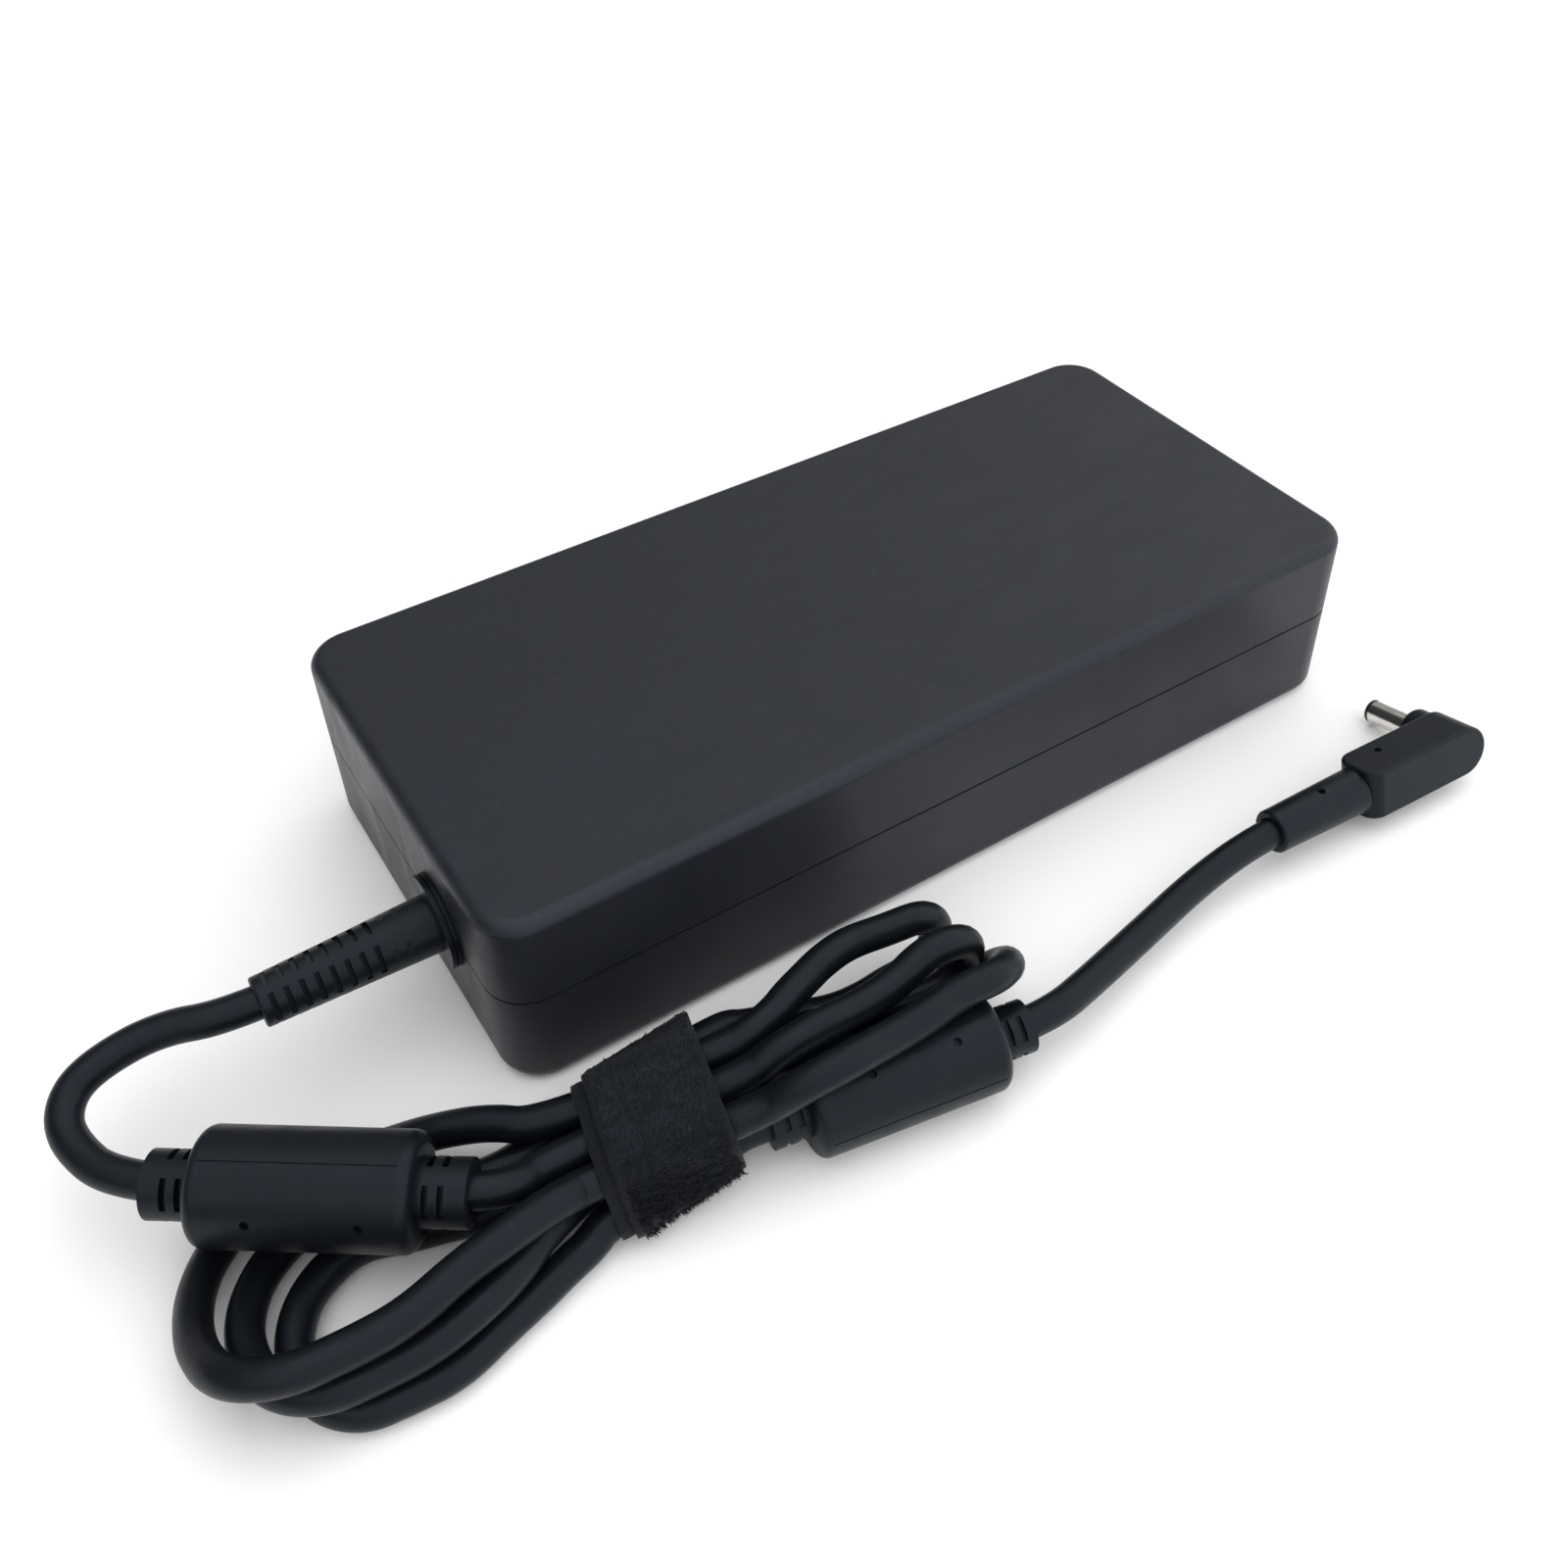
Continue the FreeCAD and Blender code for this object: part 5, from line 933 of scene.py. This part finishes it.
class ADAPTER_OT_inside(bpy.types.Operator):
    """Finishes the board, its parts and the heat spreaders inside the case"""

    bl_idname = "adapter.inside"
    bl_label = "Finish the Inside"

    def execute(self, context):
        dress(["circuit_board"], coated_board("solder_mask", (0.02, 0.12, 0.05)))
        sinks = ["lower_heat_spreader", "upper_heat_spreader", "primary_heatsink", "secondary_heatsink"]
        dress(sinks, plated_metal("mill_aluminium", (0.78, 0.79, 0.8), 0.34, (1, 12, 12)))
        films = ["lower_insulation_sheet", "upper_insulation_sheet", "thermal_pads", "transformer_pad"]
        dress(films, plain_plastic("insulation_film", (0.55, 0.52, 0.4), 0.5))
        chips = ["bridge_rectifier", "primary_transistors", "output_rectifiers"]
        chips += ["optocouplers", "control_chips"]
        dress(chips, plain_plastic("moulded_epoxy", (0.02, 0.02, 0.022), 0.45, 0.0003))
        dress(["fuse"], plain_plastic("fuse_case", (0.14, 0.06, 0.03), 0.4))
        dipped = plain_plastic("dipped_coating", (0.03, 0.12, 0.42), 0.28, 0.002)
        dress(["surge_absorber", "y_capacitors"], dipped)
        dress(["x_capacitor"], plain_plastic("film_capacitor_case", (0.55, 0.46, 0.06), 0.35))
        sleeve = plain_plastic("shrink_sleeve", (0.03, 0.03, 0.05), 0.3)
        dress(["bulk_capacitors", "output_capacitors"], sleeve)
        bobbins = ["line_choke_bobbin", "boost_choke_bobbin", "transformer_bobbin"]
        dress(bobbins, plain_plastic("bobbin_plastic", (0.05, 0.05, 0.05), 0.5))
        cores = ["line_choke_core", "boost_choke_core", "transformer_core", "output_choke_core"]
        cores += ["first_ferrite_core", "second_ferrite_core"]
        dress(cores, plain_plastic("sintered_ferrite", (0.045, 0.045, 0.05), 0.62, 0.0004))
        windings = ["line_choke_winding", "boost_choke_winding", "transformer_winding"]
        windings += ["output_choke_winding"]
        dress(windings, wound_wire("enamelled_wire", (0.5, 0.2, 0.06)))
        dress(["heatsink_screws"], plated_metal("zinc_plating", (0.66, 0.66, 0.68), 0.3))
        leads = plain_plastic("lead_insulation", (0.25, 0.03, 0.02), 0.4)
        dress(["inlet_leads", "output_leads"], leads)
        return {"FINISHED"}


class ADAPTER_OT_mouldings(bpy.types.Operator):
    """Finishes the boot at the case and the two moulded bulges on the cord"""

    bl_idname = "adapter.mouldings"
    bl_label = "Finish the Mouldings"

    def execute(self, context):
        look = context.scene.adapter_cord
        rubber = satin_moulding("moulded_rubber", look.moulding, look.moulding_roughness)
        dress(["dc_strain_relief", "first_ferrite_cover", "second_ferrite_cover"], rubber)
        return {"FINISHED"}


class ADAPTER_OT_cords(bpy.types.Operator):
    """Lays the cord: two free stretches and the tied hank between the bulges"""

    bl_idname = "adapter.cords"
    bl_label = "Lay the Cord"

    def execute(self, context):
        look = context.scene.adapter_cord
        jacket = satin_moulding("cord_jacket", look.jacket, look.roughness, 0.0008)
        inside = ["cord_in_strain_relief", "cord_in_first_ferrite", "cord_in_second_ferrite"]
        dress(inside + ["cord_in_plug"], jacket)
        routes = [
            ("cord_from_case", "cord_stretch_1", first_stretch(), "object", "loose"),
            ("cord_tied_hank", "cord_hank", hank_route(), "object", "coiled"),
            ("cord_to_plug", "cord_stretch_2", second_stretch(), "plug", "loose"),
        ]
        for name, node, points, end, lay in routes:
            piece = spline_curve(name, points, look.diameter)
            piece.data.materials.append(jacket)
            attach(piece, "root")
            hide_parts(node)
            round(curve_length(piece), 3)
        return {"FINISHED"}


class ADAPTER_OT_tie(bpy.types.Operator):
    """Winds the hook-and-loop band twice round the hank and raises its pile"""

    bl_idname = "adapter.tie"
    bl_label = "Wind the Tie"

    def execute(self, context):
        look = context.scene.adapter_tie
        band = build_band(look)
        band.data.materials.append(woven_band(look))
        pile = build_pile(look)
        pile.data.materials.append(brushed_pile(look))
        for piece in (band, pile):
            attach(piece, "root")
        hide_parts("cord_tie")
        return {"FINISHED"}


class ADAPTER_OT_plug(bpy.types.Operator):
    """Finishes the right-angle plug and its plated barrel"""

    bl_idname = "adapter.plug"
    bl_label = "Finish the Plug"

    def execute(self, context):
        cord = context.scene.adapter_cord
        look = context.scene.adapter_plug
        rubber = satin_moulding("plug_moulding", lighter(cord.moulding, 1.1), cord.moulding_roughness)
        dress(["plug_strain_relief", "plug_body"], rubber)
        plating = plated_metal("barrel_plating", look.barrel_colour, look.barrel_roughness, (6, 1, 6))
        dress(["plug_barrel", "plug_inner_contact"], plating)
        dress(["plug_insulator"], plain_plastic("barrel_tip", look.tip_colour, 0.4))
        return {"FINISHED"}


# Stage: floor, lights, surround and camera. Lengths are in metres.

FLOOR_DROP = 0.0002
LIGHTS = (
    {"name": "overhead", "place": (-0.1, -0.05, 1.25), "aim": (0, -0.02, 0), "width": 1.3},
    {"name": "beside_camera", "place": (-0.9, -0.55, 0.7), "aim": (0, -0.03, 0.01), "width": 0.8},
)
LEAN_TOWARDS = (0.9, -0.25, 0.36)
LEAN_SPAN = (-1.0, 1.0)
OVERHEAD_TOWARDS = (0.25, -0.45, 0.86)
OVERHEAD_SPAN = (0.15, 0.5)
SENSOR = 36
SHIFT_ALONG = -0.02156
SHIFT_UP = -0.09669
NEAREST = 0.01
CAMERA_RIGHT = Vector((0.83758951, -0.54604675, -0.0166358))
CAMERA_DOWN = Vector((-0.35788614, -0.52545064, -0.77189322))
CAMERA_AHEAD = Vector((0.41274849, 0.65248338, -0.63553451))


def pale_floor(look):
    size = look.floor_size / 2
    mesh = bpy.data.meshes.new("floor")
    corners = [(-size, -size, 0), (size, -size, 0), (size, size, 0), (-size, size, 0)]
    mesh.from_pydata(corners, [], [(0, 1, 2, 3)])
    floor = bpy.data.objects.new("floor", mesh)
    floor.location.z = -FLOOR_DROP
    finish = Finish("pale_floor", look.floor_colour, 0.9, specular=0.1)
    patches = finish.spread(finish.noise(size=0.4), 0.3, 0.7, 0.0, 0.3)
    finish.tint(patches, lighter(look.floor_colour, 0.985))
    floor.data.materials.append(finish.material)
    return floor


def soft_light(power, name, place, aim, width):
    lamp = bpy.data.lights.new(name, "AREA")
    lamp.shape = "DISK"
    lamp.size = width
    lamp.energy = power
    light = bpy.data.objects.new(name, lamp)
    light.location = place
    light.rotation_euler = (Vector(aim) - Vector(place)).to_track_quat("-Z", "Y").to_euler()
    return light


def pale_surround(look):
    """A surround that is brighter on the plug's side and overhead than low down at the back."""
    world = bpy.data.worlds.new("surround")
    world.use_nodes = True
    nodes = world.node_tree.nodes
    links = world.node_tree.links
    backdrop = nodes["Background"]
    backdrop.inputs["Color"].default_value = (1, 1, 1, 1)
    place = nodes.new("ShaderNodeTexCoord").outputs["Generated"]
    product = nodes.new("ShaderNodeMath")
    product.operation = "MULTIPLY"
    sideways = (1 - look.surround_lean, 1 + look.surround_lean)
    overhead = (look.surround * look.low_surround, look.surround * look.high_surround)
    slopes = ((LEAN_TOWARDS, LEAN_SPAN, sideways), (OVERHEAD_TOWARDS, OVERHEAD_SPAN, overhead))
    for (direction, span, strengths), factor in zip(slopes, product.inputs):
        slope = nodes.new("ShaderNodeVectorMath")
        slope.operation = "DOT_PRODUCT"
        slope.inputs[1].default_value = direction
        links.new(place, slope.inputs[0])
        ramp = nodes.new("ShaderNodeMapRange")
        ramp.interpolation_type = "SMOOTHSTEP"
        for field, value in zip(("From Min", "From Max", "To Min", "To Max"), span + strengths):
            ramp.inputs[field].default_value = value
        links.new(slope.outputs["Value"], ramp.inputs["Value"])
        links.new(ramp.outputs["Result"], factor)
    links.new(product.outputs["Value"], backdrop.inputs["Strength"])
    return world


def photo_camera(look):
    """The camera at the photograph's place, with the shift that its framing needs."""
    view = bpy.data.cameras.new("photo_camera")
    view.sensor_width = SENSOR
    view.lens = look.focal_length
    view.shift_x = SHIFT_ALONG
    view.shift_y = SHIFT_UP
    view.clip_start = NEAREST
    camera = bpy.data.objects.new("photo_camera", view)
    turn = Matrix((CAMERA_RIGHT, -CAMERA_DOWN, -CAMERA_AHEAD)).transposed()
    camera.matrix_world = Matrix.Translation(look.camera_place) @ turn.to_4x4()
    return camera


class ADAPTER_OT_stage(bpy.types.Operator):
    """Sets the pale floor, the soft lights and the camera"""

    bl_idname = "adapter.stage"
    bl_label = "Set the Stage"

    def execute(self, context):
        look = context.scene.adapter_stage
        scene = context.scene
        floor = pale_floor(look)
        scene.collection.objects.link(floor)
        for plan, power in zip(LIGHTS, (look.key_power, look.fill_power)):
            scene.collection.objects.link(soft_light(power, **plan))
        scene.world = pale_surround(look)
        scene.view_settings.view_transform = "Standard"
        camera = photo_camera(look)
        scene.collection.objects.link(camera)
        scene.camera = camera
        return {"FINISHED"}


OPERATORS = (
    ADAPTER_OT_stage,
    ADAPTER_OT_cords,
    ADAPTER_OT_case,
    ADAPTER_OT_inlet,
    ADAPTER_OT_inside,
    ADAPTER_OT_mouldings,
    ADAPTER_OT_tie,
    ADAPTER_OT_plug,
)


class ADAPTER_PT_panel(bpy.types.Panel):
    bl_idname = "ADAPTER_PT_panel"
    bl_label = "Power Adapter"
    bl_space_type = "VIEW_3D"
    bl_region_type = "UI"
    bl_category = "Adapter"

    def draw(self, context):
        for name, group in GROUPS.items():
            box = self.layout.box()
            for field in group.__annotations__:
                box.prop(getattr(context.scene, name), field)
        for operator in OPERATORS:
            self.layout.operator(operator.bl_idname)


def register():
    for group in GROUPS.values():
        bpy.utils.register_class(group)
    for name, group in GROUPS.items():
        setattr(bpy.types.Scene, name, PointerProperty(type=group))
    for operator in OPERATORS:
        bpy.utils.register_class(operator)
    bpy.utils.register_class(ADAPTER_PT_panel)


def unregister():
    bpy.utils.unregister_class(ADAPTER_PT_panel)
    for operator in reversed(OPERATORS):
        bpy.utils.unregister_class(operator)
    for name, group in reversed(GROUPS.items()):
        delattr(bpy.types.Scene, name)
        bpy.utils.unregister_class(group)


def main():
    register()
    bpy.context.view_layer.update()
    for operator in OPERATORS:
        group, action = operator.bl_idname.split(".")
        getattr(getattr(bpy.ops, group), action)()


if __name__ == "__main__":
    main()
